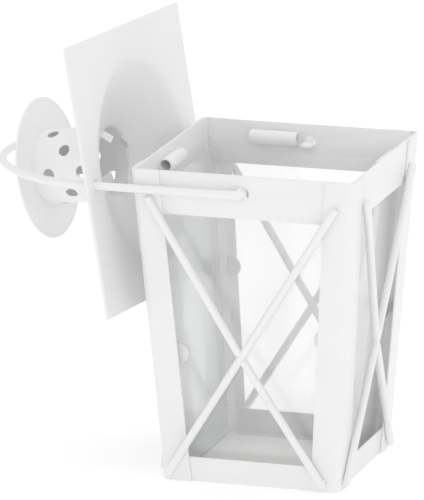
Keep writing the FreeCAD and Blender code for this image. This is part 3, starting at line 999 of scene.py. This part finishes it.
@dataclass
class Shell:
    """The tapered box that every side piece is measured from.

    Attributes:
        height: Of the body.
        top_half: Half its outer width at the top.
        base_half: Half its outer width at the base.
        sheet: Thickness of the posts and of the bands.
    """

    height: float = 200.0
    top_half: float = 71.4
    base_half: float = 56.8
    sheet: float = 1.2

    @property
    def lean(self) -> float:
        """How far each side leans outwards, in radians."""
        return math.atan((self.top_half - self.base_half) / self.height)

    @property
    def band_inside(self) -> float:
        """Depth of the bands' inner faces, square to the side."""
        return self.sheet * math.cos(self.lean) + self.sheet

    def half(self, height: float, inset: float = 0.0) -> float:
        """Half the outer width at a height, less an inset square to the side."""
        return self.base_half + height * math.tan(self.lean) - inset / math.cos(self.lean)

    def at(self, side: Side, along: float, height: float, depth: float = 0.0) -> Vector:
        """A point on a side.

        Args:
            side: Which side.
            along: Distance to the right of its middle, seen from outside.
            height: Above the ground.
            depth: Into the lantern, square to the side.

        Returns:
            The point, in millimetres.
        """
        point = Vector((along, -self.half(height, depth), height))
        return side.turn @ point

    def inward(self, side: Side) -> Vector:
        """The direction square to a side, into the lantern."""
        straight = Vector((0.0, math.cos(self.lean), math.sin(self.lean)))
        return side.turn @ straight


@dataclass
class Frame:
    """Posts, bands and floor.

    Attributes:
        nodes: The CAD nodes, by name.
        shell: The tapered box.
        paint: Finish of the sheet.
        floor: Finish of the floor plate.
        soft_edge: Rounding of the sheet's edges.
        seam_pitch: From one weld spot to the next along a band's end.
        seam_inset: From the corner edge to a weld spot.
        seam_sink: How far a weld spot is sunk in the band.
        top_band: Height of the top bands.
        base_band: Height of the base bands.
    """

    nodes: dict[str, bpy.types.Object]
    shell: Shell
    paint: Finish = SatinPaint()
    floor: Finish = FloorSheet()
    soft_edge: float = 0.38
    seam_pitch: float = 8.0
    seam_inset: float = 5.2
    seam_sink: float = 0.2
    top_band: float = 27.7
    base_band: float = 15.8

    def build(self) -> None:
        """Make every piece of the frame."""
        for name, node in self.nodes.items():
            if name.startswith("post_") or "_band_" in name:
                self.dress(name, node, Slot.STEEL, self.paint)
        self.dress("floor_plate", self.nodes["floor_plate"], Slot.FLOOR, self.floor)
        beads = WeldBeads(radius=0.75).build(list(self.seams()), self.paint)
        Piece("seam_welds", beads, Body.FRAME, Slot.STEEL, [self.paint]).place()

    def dress(self, name: str, node: bpy.types.Object, slot: Slot, finish: Finish) -> None:
        """Give a sheet piece soft edges and its finish.

        Args:
            name: The CAD node's name.
            node: Its object.
            slot: Its material slot.
            finish: Its finish.
        """
        Piece("painted_" + name, softened(node, self.soft_edge), Body.FRAME, slot, [finish], [name]).place()

    def seams(self) -> Iterable[Vector]:
        """Weld spots where the bands' ends meet the posts' folds, inside.

        Yields:
            Each spot's place.
        """
        depth = self.shell.band_inside - self.seam_sink
        for side in Side:
            for low, tall in ((self.shell.height - self.top_band, self.top_band), (0.0, self.base_band)):
                for step in range(1, int(tall / self.seam_pitch)):
                    height = low + step * self.seam_pitch
                    reach = self.shell.half(height, self.seam_inset)
                    yield self.shell.at(side, -reach, height, depth)
                    yield self.shell.at(side, reach, height, depth)


@dataclass
class Glazing:
    """Panes, the clips behind them and the tubes above them.

    Attributes:
        nodes: The CAD nodes, by name.
        shell: The tapered box.
        glass: Finish of the panes' faces.
        edge: Finish of their cut edges.
        paint: Finish of clips and tubes.
        arris: Rounding of the panes' edges.
        clip_edge: Rounding of the clips' edges.
        tube_edge: Rounding of the tubes' edges.
        tube_radius: Outside radius of a keeper tube.
        tube_wall: Its sheet thickness.
        tube_length: Its length.
        tube_drop: Its height below the rim.
        tube_shifts: How far it is from the middle, on each side in turn.
        tube_slit: Half angle of the gap where the sheet's edges meet, in degrees.
        tube_turn: Angle that the gap is turned to.
        flat: How much of its round is pressed flat against the band.
    """

    nodes: dict[str, bpy.types.Object]
    shell: Shell
    glass: Finish = SheetGlass()
    edge: Finish = CutEdge()
    paint: Finish = SatinPaint()
    arris: float = 0.3
    clip_edge: float = 0.25
    tube_edge: float = 0.22
    tube_radius: float = 4.5
    tube_wall: float = 1.0
    tube_length: float = 31.0
    tube_drop: float = 9.2
    tube_shifts: tuple[float, float, float, float] = (21.5, 21.5, 21.5, 9.0)
    tube_slit: float = 3.0
    tube_turn: float = 215.0
    flat: float = 0.2

    def build(self) -> None:
        """Make the panes, clips and tubes."""
        for side in Side:
            self.pane(side)
            self.tube(side)
        for name, node in self.nodes.items():
            if name.startswith("corner_clip_"):
                mesh = softened(node, self.clip_edge, 2)
                Piece("folded_" + name, mesh, Body.FRAME, Slot.STEEL, [self.paint], [name]).place()

    def pane(self, side: Side) -> None:
        """A pane with clear faces and green edges.

        Args:
            side: Where it stands.
        """
        node = "glass_pane_" + side.label
        mesh = softened(self.nodes[node], self.arris, 2)
        inward = self.shell.inward(side)
        for face in mesh.polygons:
            face.material_index = 0 if abs(face.normal.dot(inward)) > 0.95 else 1
        Piece("cut_" + node, mesh, Body.FRAME, Slot.GLASS, [self.glass, self.edge], [node], 20.0).place()

    def tube(self, side: Side) -> None:
        """A tube rolled from sheet, open along one line.

        Args:
            side: Where it hangs.
        """
        outer, inner = self.tube_radius, self.tube_radius - self.tube_wall
        slit = self.tube_slit
        section = arc((0, 0), outer, slit, 360 - slit, 56) + arc((0, 0), inner, 360 - slit, slit, 56)
        mesh = bevelled(prism("rolled_tube", section, self.tube_length), self.tube_edge, 2, 50.0)
        shift = self.tube_shifts[side.value]
        depth = self.shell.band_inside + outer - self.flat
        height = self.shell.height - self.tube_drop + (outer - self.flat) * math.sin(self.shell.lean)
        centre = self.shell.at(side, shift, height, depth)
        along = side.turn @ Matrix.Rotation(math.pi / 2, 4, "Y")
        slit_down = Matrix.Rotation(math.radians(self.tube_turn), 4, "Z")
        mesh.transform(Matrix.Translation(centre) @ along @ slit_down)
        node = "pane_keeper_" + side.label
        Piece("rolled_" + node, mesh, Body.FRAME, Slot.STEEL, [self.paint], [node]).place()


@dataclass
class CrossBraces:
    """The crossed rods outside each side, and the welds that hold them.

    Attributes:
        shell: The tapered box.
        paint: Finish of the wire.
        radius: Of the wire.
        flat: How much of its round is pressed flat on the posts.
        top: Height of the rods' upper ends.
        foot: Height of their lower ends.
        cross: Height where they cross.
        long_insets: For each pair of sides, how far the long rod's ends are from the edges.
        pair_insets: The same for the two short rods.
        tip: How far back a sawn end's rounding starts.
        stop: How far the short rods stop before the crossing.
        end_welds: Distance of an end's weld spots along the rod and beside it.
        cross_welds: The same at the crossing.
        proud: How far out the weld spots sit, at the ends and at the crossing.
    """

    shell: Shell
    paint: Finish = SatinPaint("brace_paint", peel=0.00009, runs=0.5)
    radius: float = 2.5
    flat: float = 0.2
    top: float = 183.5
    foot: float = 3.6
    cross: float = 84.0
    long_insets: tuple[Point, Point] = ((10.2, 3.4), (17.9, 6.4))
    pair_insets: tuple[Point, Point] = ((10.0, 9.5), (22.7, 10.9))
    tip: float = 0.7
    stop: float = 1.9
    end_welds: Point = (3.0, 1.9)
    cross_welds: Point = (3.4, 2.3)
    proud: Point = (0.35, 1.7)

    def build(self) -> None:
        """Make twelve rods and their welds."""
        spots: list[Vector] = []
        for side in Side:
            family = side.value % 2
            long_top, long_foot = self.long_insets[family]
            pair_top, pair_foot = self.pair_insets[family]
            upper = (self.shell.half(self.top, long_top), self.top)
            lower = (-self.shell.half(self.foot, long_foot), self.foot)
            share = (self.top - self.cross) / (self.top - self.foot)
            meeting = (upper[0] + (lower[0] - upper[0]) * share, self.cross)
            left_top = (-self.shell.half(self.top, pair_top), self.top)
            right_foot = (self.shell.half(self.foot, pair_foot), self.foot)
            self.rod(side, "long", lower, upper)
            self.rod(side, "upper", left_top, meeting, self.stop)
            self.rod(side, "lower", right_foot, meeting, self.stop)
            spots += self.welds(side, (upper, lower, left_top, right_foot), meeting)
        beads = WeldBeads(radius=0.95, unevenness=0.35, seed=3).build(spots, self.paint)
        Piece("brace_welds", beads, Body.FRAME, Slot.WIRE, [self.paint]).place()

    def rod(self, side: Side, part: str, start: Point, finish: Point, shortened: float = 0.0) -> None:
        """One rod, with eased ends.

        Args:
            side: Where it lies.
            part: Its part in the cross.
            start: Where it starts, as (along, height).
            finish: Where it ends.
            shortened: How far it stops short of its end.
        """
        depth = -(self.radius - self.flat)
        first = self.shell.at(side, *start, depth)
        last = self.shell.at(side, *finish, depth)
        way = (last - first).normalized()
        last = last - way * shortened
        length = (last - first).length
        marks = [0.0, self.tip * 0.3, self.tip] + [length * step / 12 for step in range(1, 12)]
        marks += [length - self.tip, length - self.tip * 0.3, length]
        radii = [self.radius - 0.5, self.radius - 0.15] + [self.radius] * 13
        radii += [self.radius - 0.15, self.radius - 0.5]
        mesh = wire("rod", [first + way * mark for mark in marks], radii, 24,
                    1 - self.flat / self.radius, self.shell.inward(side))
        node = f"brace_{side.label}_{part}"
        Piece("welded_" + node, mesh, Body.FRAME, Slot.WIRE, [self.paint], [node]).place()

    def welds(self, side: Side, ends: Sequence[Point], meeting: Point) -> list[Vector]:
        """Weld spots beside the rods' ends and in the corners of the crossing.

        Args:
            side: Which side.
            ends: The rods' outer ends.
            meeting: Where the rods cross.

        Returns:
            The spots' places.
        """
        spots = []
        for along, height in ends:
            inward = math.copysign(1.0, meeting[1] - height)
            lean = (meeting[0] - along) / abs(meeting[1] - height)
            reach, beside = self.end_welds
            for shift in (-beside, beside):
                up = inward * (reach + shift * 0.3)
                spots.append(self.shell.at(side, along + lean * abs(up) + shift, height + up, -self.proud[0]))
        for turn in range(4):
            angle = turn * math.pi / 2
            spots.append(self.shell.at(side, meeting[0] + self.cross_welds[1] * math.cos(angle),
                                       meeting[1] + self.cross_welds[0] * math.sin(angle), -self.proud[1]))
        return spots


@dataclass
class BailHandle:
    """The bent wire handle.

    Attributes:
        shell: The tapered box.
        paint: Finish of the wire.
        radius: Of the wire.
        pivot: Height of the pivots.
        leg_gap: Between a leg and the posts.
        bend: Radius of the bend into the band.
        shoulder_extra: How much wider than the legs' half spacing the bow's shoulders turn.
        crown_drop: How much tighter the crown turns than the shoulders.
        cap_gap: Room that the bow leaves round the rain cap.
        cap_radius: Of the rain cap.
        cap_reach: From the pivot's axis to the rain cap.
        swell: How much thicker the wire is where it was bent hot.
        paddle: Radius and half thickness of a hammered end.
        paddle_shift: How far a hammered end is off the pivot, along the bail's plane and below it.
        paddle_gap: Between a hammered end and the band.
    """

    shell: Shell
    paint: Finish = SatinPaint("handle_paint", peel=0.00009, runs=0.4)
    radius: float = 2.5
    pivot: float = 188.5
    leg_gap: float = 0.5
    bend: float = 4.0
    shoulder_extra: float = 6.0
    crown_drop: float = 15.0
    cap_gap: float = 7.5
    cap_radius: float = 44.3
    cap_reach: float = 151.85
    swell: float = 0.6
    paddle: Point = (4.6, 2.3)
    paddle_shift: Point = (0.4, 0.6)
    paddle_gap: float = 0.8

    @property
    def leg_y(self) -> float:
        """Distance of each leg from the middle."""
        return self.shell.top_half + self.leg_gap + self.radius

    def build(self) -> None:
        """Make the wire with its hammered ends."""
        line = self.path()
        radii = [self.thickness(point) for point in line]
        bar = wire("bail", line, radii, 28)
        meshes = [bar] + [self.hammered_end(sign) for sign in (-1, 1)]
        Piece("bent_handle", joined("handle", meshes), Body.HANDLE, Slot.WIRE, [self.paint], ["handle"],
              50.0).place()

    @property
    def paddle_y(self) -> float:
        """Distance of each hammered end from the middle."""
        return self.shell.half(self.pivot, self.shell.band_inside) - self.paddle_gap - self.paddle[0]

    def thickness(self, point: Vector) -> float:
        """The wire's radius at a point, swollen at the bends into the bands.

        Args:
            point: On the wire's centre line.

        Returns:
            The radius.
        """
        bend = Vector((-self.bend * 0.3, math.copysign(self.leg_y - self.bend * 0.3, point.y), self.pivot))
        near = max(0.0, 1.0 - (point - bend).length / (2.2 * self.bend))
        return self.radius + self.swell * near

    def path(self) -> list[Vector]:
        """The wire's centre line, from the front tip round to the back one.

        Returns:
            Its points.
        """
        shoulder = self.leg_y + self.shoulder_extra
        crown = shoulder - self.crown_drop
        cap_side = self.cap_radius + self.cap_gap + self.shoulder_extra
        straight = self.cap_reach - math.sqrt(shoulder ** 2 - cap_side ** 2)
        crown_x = -straight - math.sqrt(self.crown_drop ** 2 - self.shoulder_extra ** 2)
        join = 180 + math.degrees(math.asin(self.shoulder_extra / self.crown_drop))
        tip = self.paddle_y
        bend_y = self.leg_y - self.bend
        half = [(0.0, -tip - (bend_y - tip) * step / 4) for step in range(4)]
        half += arc((-self.bend, -bend_y), self.bend, 0, -90, 10)
        half += [(-self.bend - (straight - self.bend) * step / 8, -self.leg_y) for step in range(1, 8)]
        half += arc((-straight, self.shoulder_extra), shoulder, 270, join, 36)
        half += arc((crown_x, 0.0), crown, join, 180, 12)[1:]
        other = [(x, -y) for x, y in reversed(half[:-1])]
        return [Vector((x, y, self.pivot)) for x, y in half + other]

    def hammered_end(self, sign: int) -> bpy.types.Mesh:
        """The wire's flattened end inside one band, which keeps it from pulling out.

        Args:
            sign: -1 for the front, 1 for the back.

        Returns:
            Its mesh, in place.
        """
        radius, half = self.paddle
        section = [(radius * math.cos(a), half * math.sin(a))
                   for a in (math.pi * (step / 24 - 0.5) for step in range(25))]
        section[0], section[-1] = (0.0, -half), (0.0, half)
        pad = turned("hammered_end", section, 56)
        for vertex in pad.vertices:
            vertex.co.z *= 1.0 - 0.16 * math.sin(vertex.co.x * 0.9 + sign) ** 2
        along, below = self.paddle_shift
        pad.transform(Matrix.Translation((along, sign * self.paddle_y, self.pivot - below)))
        return pad


@dataclass
class VentedLid:
    """The square lid with its cone, chimney, rain cap and eyelets.

    Attributes:
        shell: The tapered box.
        pivot: Height of the line that it tilts about.
        reach: Distance of that line's middle from the lantern's middle.
        reach_difference: How much nearer its back end is than its front end.
        leg_y: Distance of the handle's legs from the middle.
        half: Half the sheet's side.
        sheet: Its thickness.
        hem: Width of the folded hem.
        cone: Radius at the foot, and height where it reaches the tube's outside.
        collar: Height of the collar inside the tube's lower end.
        foot_blend: How gently the cone's foot turns into the flat.
        skew: Turn of the sheet in its own plane, in degrees.
        rest_gap: Between its lower edge and the braces it leans on, on the flat.
        brace: Thickness of those braces.
        cap_radius: Of the rain cap.
        eyelet: Bore radius, wall, flange width and flange thickness of an eyelet.
        tube: The chimney's tube.
        tab_width: Width of the tabs that hang in the throat.
        tab_turn: Angle of the first one, in degrees.
        tabs: How many.
        paint: Finish of the outside.
        vent_paint: Finish of chimney and cap.
        flue_painted_shade: Painted shade inside the chimney, a darker bluish grey on the bore and on faces
            that face down inside it.
    """

    shell: Shell
    pivot: float = 188.5
    reach: float = 86.25
    reach_difference: float = 13.5
    leg_y: float = 74.4
    half: float = 84.6
    sheet: float = 1.0
    hem: float = 4.2
    cone: Point = (63.0, 19.6)
    collar: float = 9.0
    foot_blend: float = 3.0
    skew: float = 2.0
    rest_gap: float = 2.2
    brace: float = 5.0
    cap_radius: float = 44.3
    eyelet: tuple[float, float, float, float] = (3.7, 0.5, 0.8, 0.6)
    tube: VentTube = field(default_factory=VentTube)
    tab_width: float = 6.0
    tab_turn: float = -27.0
    tabs: int = 4
    paint: Finish = SatinPaint()
    vent_paint: Finish = SatinPaint("vent_paint", (0.875, 0.873, 0.876), peel=0.00008, runs=0.4)
    # Painted shade: the chimney's bore and the faces under its cap get this darker bluish grey for the shade
    # that falls inside it.
    flue_painted_shade: Finish = SatinPaint("flue_painted_shade", (0.50, 0.51, 0.545), (0.40, 0.41, 0.44), 0.5)

    def matrix(self) -> Matrix:
        """The lid's own frame: X up, Y to the back, Z towards the rain cap.

        Returns:
            The placement, in millimetres.
        """
        yaw = math.atan(self.reach_difference / (2 * self.leg_y))
        lower = self.shell.half(self.pivot - self.half)
        tilt = math.asin((self.reach - lower - self.brace - self.rest_gap) / self.half)
        return (Matrix.Translation((-self.reach, 0, self.pivot)) @ Matrix.Rotation(-yaw, 4, "Z")
                @ Matrix.Rotation(-math.pi / 2 - tilt, 4, "Y")
                @ Matrix.Rotation(math.radians(self.skew), 4, "Z"))

    def build(self) -> None:
        """Make every piece of the lid."""
        plate = joined("lid_sheet", [self.plate()] + [self.tab(number) for number in range(self.tabs)])
        self.place("stamped_lid", plate, [self.paint, self.flue_painted_shade], ["lid_plate"])
        self.place("pierced_chimney", self.chimney(), [self.vent_paint, self.flue_painted_shade], ["chimney"])
        self.place("rolled_rain_cap", self.cap(), [self.vent_paint, self.flue_painted_shade], ["rain_cap"])
        for label, centre in zip(("front", "back"), self.eyelet_places()):
            ring = self.ring()
            ring.transform(Matrix.Translation(centre))
            self.place("set_eyelet_" + label, ring, [self.paint], ["lid_eyelet_" + label])

    def place(self, name: str, mesh: bpy.types.Mesh, finishes: Sequence[Finish],
              nodes: Sequence[str]) -> None:
        """Carry a mesh from the lid's frame to its place and finish it.

        Args:
            name: The piece's name.
            mesh: Its mesh, in the lid's frame.
            finishes: The outside's finish, and the painted shade of the flue where it has one.
            nodes: The CAD nodes it stands for.
        """
        # The second finish paints shade on the faces inside the chimney.
        if len(finishes) > 1:
            self._paint_flue_shade(mesh)
        mesh.transform(self.matrix())
        Piece(name, mesh, Body.LID, Slot.STEEL, finishes, nodes, 40.0).place()

    def _paint_flue_shade(self, mesh: bpy.types.Mesh) -> None:
        """Give the faces that line the chimney's bore, or face down inside it, the second material: the
        flue's painted shade.
        """
        reach = self.tube.radius - self.tube.wall / 2
        for face in mesh.polygons:
            x, y, z = face.center
            outwards = face.normal.x * x + face.normal.y * y
            lining = outwards < -0.3 * math.hypot(x, y) or face.normal.z < -0.9
            inside = math.hypot(x, y) < reach and z > self.tube.low
            face.material_index = 1 if lining and inside else 0

    def eyelet_places(self) -> list[Vector]:
        """Where the two legs pass through the sheet, front first."""
        span = math.hypot(self.leg_y, self.reach_difference / 2)
        skew = math.radians(self.skew)
        spot = Vector((span * math.sin(skew), span * math.cos(skew), 0))
        return [-spot, spot]

    def plate(self) -> bpy.types.Mesh:
        """The sheet: a cone stamped in a square, with folded hems and two holes.

        Returns:
            Its mesh.
        """
        steps = 144
        middle = self.sheet / 2
        rings = [self._round_ring(radius, height + middle, steps) for radius, height in self._cone_line()]
        inner = rings[-1]
        flat_edge = self._square_ring(self.hem + 1.0, middle, steps)
        for share in (0.25, 0.5, 0.75):
            rings.append([a.lerp(b, share) for a, b in zip(inner, flat_edge)])
        rings.append(flat_edge)
        for x, z in arc((2 * middle, 2 * middle), middle, -90, -270, 8):
            rings.append(self._square_ring(x, z, steps))
        rings.append(self._square_ring(self.hem, 3 * middle, steps))
        points = [point for ring in rings for point in ring]
        faces = []
        for ring in range(len(rings) - 1):
            for step in range(steps):
                a, b = ring * steps + step, ring * steps + (step + 1) % steps
                faces.append([a, b, b + steps, a + steps])
        mesh = mesh_from("lid_sheet", points, faces)
        mesh = run_modifier(mesh, "SOLIDIFY", {"thickness": self.sheet * 0.97, "offset": 0.0,
                                               "use_even_offset": True})
        bore, wall = self.eyelet[:2]
        for centre in self.eyelet_places():
            mesh = self._pierced(mesh, centre, bore + wall)
        return mesh

    def _cone_line(self) -> list[Point]:
        """The underside, from the collar's top down the cone to past its foot, with eased bends."""
        foot, height = self.cone
        fall = height / (foot - self.tube.radius)
        collar = self.tube.radius - self.tube.wall - self.sheet / 2
        corner = height + (self.tube.radius - collar) * fall
        ease = 1.0
        top = self.tube.low + self.collar - self.sheet / 2
        line = [(collar, top + (corner + ease - top) * step / 4) for step in range(5)]
        for step in range(1, 4):
            share = step / 4
            rise = (1 - share) ** 2 - fall * share ** 2
            line.append((collar + ease * share ** 2, corner + ease * rise))
        start, end = collar + ease, foot - self.foot_blend
        cone = [start + (end - start) * step / 6 for step in range(7)]
        line += [(radius, height - (radius - self.tube.radius) * fall) for radius in cone]
        for step in range(1, 7):
            share = step / 6
            drop = self.foot_blend * fall * (1 - share) ** 2
            line.append((foot - self.foot_blend + 2 * self.foot_blend * share, drop))
        return line

    def _round_ring(self, radius: float, height: float, steps: int) -> list[Vector]:
        """A ring of points on a circle."""
        angles = [2 * math.pi * number / steps for number in range(steps)]
        return [Vector((radius * math.cos(a), radius * math.sin(a), height)) for a in angles]

    def _square_ring(self, inset: float, height: float, steps: int) -> list[Vector]:
        """A ring of points on the sheet's edge, moved in by an inset."""
        ring = []
        for number in range(steps):
            angle = 2 * math.pi * number / steps
            across, up = math.cos(angle), math.sin(angle)
            reach = (self.half - inset) / max(abs(across), abs(up))
            ring.append(Vector((reach * across, reach * up, height)))
        return ring

    def _pierced(self, mesh: bpy.types.Mesh, centre: Vector, radius: float) -> bpy.types.Mesh:
        """A mesh with a round hole through it at a place."""
        punch = turned("punch", [(0, -5), (radius, -5), (radius, 5), (0, 5)], 40)
        punch.transform(Matrix.Translation(centre))
        tool = in_scene("punch", punch)
        settings = {"operation": "DIFFERENCE", "object": tool, "solver": "EXACT"}
        result = run_modifier(mesh, "BOOLEAN", settings)
        bpy.data.objects.remove(tool)
        return result

    def chimney(self) -> bpy.types.Mesh:
        """The pierced tube with its holes' burrs eased.

        Returns:
            The mesh.
        """
        return bevelled(self.tube.build(self.vent_paint), self.tube.burr, 2, 45.0)

    def tab(self, number: int) -> bpy.types.Mesh:
        """A tab cut from the throat and bent in and down.

        Args:
            number: Which one.

        Returns:
            Its mesh.
        """
        foot, height = self.cone
        inner = self.tube.radius - self.tube.wall - self.sheet
        edge = height + (self.tube.radius - inner) * height / (foot - self.tube.radius)
        strip = [(inner + 0.3, edge + 1.2), (inner + 0.3, edge + 0.2), (inner - 5.2, edge - 5.0),
                 (inner - 5.9, edge - 4.2), (inner - 1.2, edge + 1.2)]
        tab = prism("tab", eased(strip, 0.4), self.tab_width)
        turn = math.radians(self.tab_turn) + 2 * math.pi * number / self.tabs
        tab.transform(Matrix.Rotation(turn, 4, "Z") @ Matrix.Rotation(math.pi / 2, 4, "X"))
        return tab

    def cap(self) -> bpy.types.Mesh:
        """The rain cap: a shallow dish with a rolled rim.

        Returns:
            Its mesh.
        """
        base, rim, wall, roll = self.tube.high, self.cap_radius, 0.8, 0.78
        under = [(0.0, base), (self.tube.radius + 1, base), (self.tube.radius + 4, base + 0.1),
                 (rim - 3.2, base + 0.45), (rim - 2.0, base + 0.35)]
        edge = arc((rim - roll, base + roll), roll, 230, 500, 16)
        over = [(rim - 2.2, base + 0.45 + wall), (self.tube.radius + 4, base + wall + 0.1),
                (self.tube.radius + 1, base + wall), (0.0, base + wall)]
        return turned("rain_cap", under + edge + over, 144)

    def ring(self) -> bpy.types.Mesh:
        """An eyelet, its flanges rolled over both faces of the sheet.

        Returns:
            Its mesh, round its own axis.
        """
        bore, wall, flange, thick = self.eyelet
        barrel, lip = bore + wall, bore + wall + flange
        section = [(lip, -thick), (lip, 0), (barrel, 0), (barrel, self.sheet), (lip, self.sheet),
                   (lip, self.sheet + thick), (bore, self.sheet + thick), (bore, -thick)]
        return turned("eyelet", eased(section, 0.28), 56)


# ---------------------------------------------------------------- studio

@dataclass
class Studio:
    """Floor, light and camera.

    Attributes:
        target: The lantern's middle, in metres.
        distance: From there to the camera.
        framing: How far right of and above the target the camera aims, in metres.
        azimuth: Of the camera, in degrees.
        elevation: Of the camera, in degrees.
        roll: Of the camera, in degrees.
        lens: Focal length, on a 36 mm sensor.
        floor_colour: Of the floor.
        floor_lift: Light that the floor gives off itself.
        sky: Brightness of the even light.
        lift: Gamma of the picture, which softens its shadows.
    """

    target: Vector = field(default_factory=lambda: Vector((0.0, 0.0, 0.1)))
    distance: float = 4.08
    framing: Point = (-0.0405, 0.0348)
    azimuth: float = 17.5
    elevation: float = 15.1
    roll: float = -0.5
    lens: float = 474.0
    floor_colour: Colour = (0.93, 0.93, 0.93)
    floor_lift: float = 0.23
    sky: float = 0.83
    lift: float = 1.2

    def build(self) -> None:
        """Set everything up."""
        self.light_evenly()
        self.lay_floor()
        self.lamp("overhead", Vector((0.5, 0.1, 2.2)), 1.8, 8.0)
        self.lamp("front", Vector((0.9, -2.8, 1.0)), 1.6, 5.0)
        self.stand_camera()
        bpy.context.scene.view_settings.view_transform = "Standard"
        bpy.context.scene.view_settings.gamma = self.lift

    def light_evenly(self) -> None:
        """An even white sky."""
        world = bpy.data.worlds.new("even_sky")
        world.use_nodes = True
        background = world.node_tree.nodes["Background"]
        background.inputs["Color"].default_value = (1.0, 1.0, 1.0, 1.0)
        background.inputs["Strength"].default_value = self.sky
        bpy.context.scene.world = world

    def lay_floor(self) -> None:
        """A wide pale floor."""
        reach = 12.0
        mesh = bpy.data.meshes.new("floor")
        corners = [(-reach, -reach, 0), (reach, -reach, 0), (reach, reach, 0), (-reach, reach, 0)]
        mesh.from_pydata(corners, [], [(0, 1, 2, 3)])
        material = bpy.data.materials.new("floor_paper")
        material.use_nodes = True
        shader = material.node_tree.nodes["Principled BSDF"]
        shader.inputs["Base Color"].default_value = (*self.floor_colour, 1.0)
        shader.inputs["Roughness"].default_value = 0.9
        shader.inputs["Emission Color"].default_value = (1.0, 1.0, 1.0, 1.0)
        shader.inputs["Emission Strength"].default_value = self.floor_lift
        mesh.materials.append(material)
        in_scene("floor", mesh)

    def lamp(self, name: str, place: Vector, size: float, power: float) -> None:
        """A soft square lamp aimed at the lantern.

        Args:
            name: The lamp's name.
            place: Where it hangs, in metres.
            size: Its side.
            power: In watts.
        """
        data = bpy.data.lights.new(name, "AREA")
        data.size = size
        data.energy = power
        lamp = in_scene(name, data)
        lamp.location = place
        lamp.rotation_euler = (Vector((0, 0, 0.12)) - place).to_track_quat("-Z", "Y").to_euler()

    def stand_camera(self) -> None:
        """The camera, level but for its roll."""
        azimuth, elevation = math.radians(self.azimuth), math.radians(self.elevation)
        back = Vector((math.sin(azimuth) * math.cos(elevation), -math.cos(azimuth) * math.cos(elevation),
                       math.sin(elevation)))
        data = bpy.data.cameras.new("camera")
        data.lens = self.lens
        data.clip_end = 60.0
        camera = in_scene("camera", data)
        spin = Matrix.Rotation(math.radians(self.roll), 4, "Z")
        level = (-back).to_track_quat("-Z", "Y").to_matrix().to_4x4() @ spin
        eye = self.target + back * self.distance
        aim = self.target + level.to_3x3() @ Vector((*self.framing, 0.0))
        turn = (aim - eye).to_track_quat("-Z", "Y").to_matrix().to_4x4() @ spin
        camera.matrix_world = Matrix.Translation(eye) @ turn
        bpy.context.scene.camera = camera


def main() -> None:
    """Build the lantern's looks on its CAD frame."""
    logging.basicConfig(level=logging.INFO, format="%(message)s")
    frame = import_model()
    shell = Shell()
    Frame(frame["nodes"], shell).build()
    Glazing(frame["nodes"], shell).build()
    CrossBraces(shell).build()
    BailHandle(shell).build()
    VentedLid(shell).build()
    Studio().build()


if __name__ == "__main__":
    main()
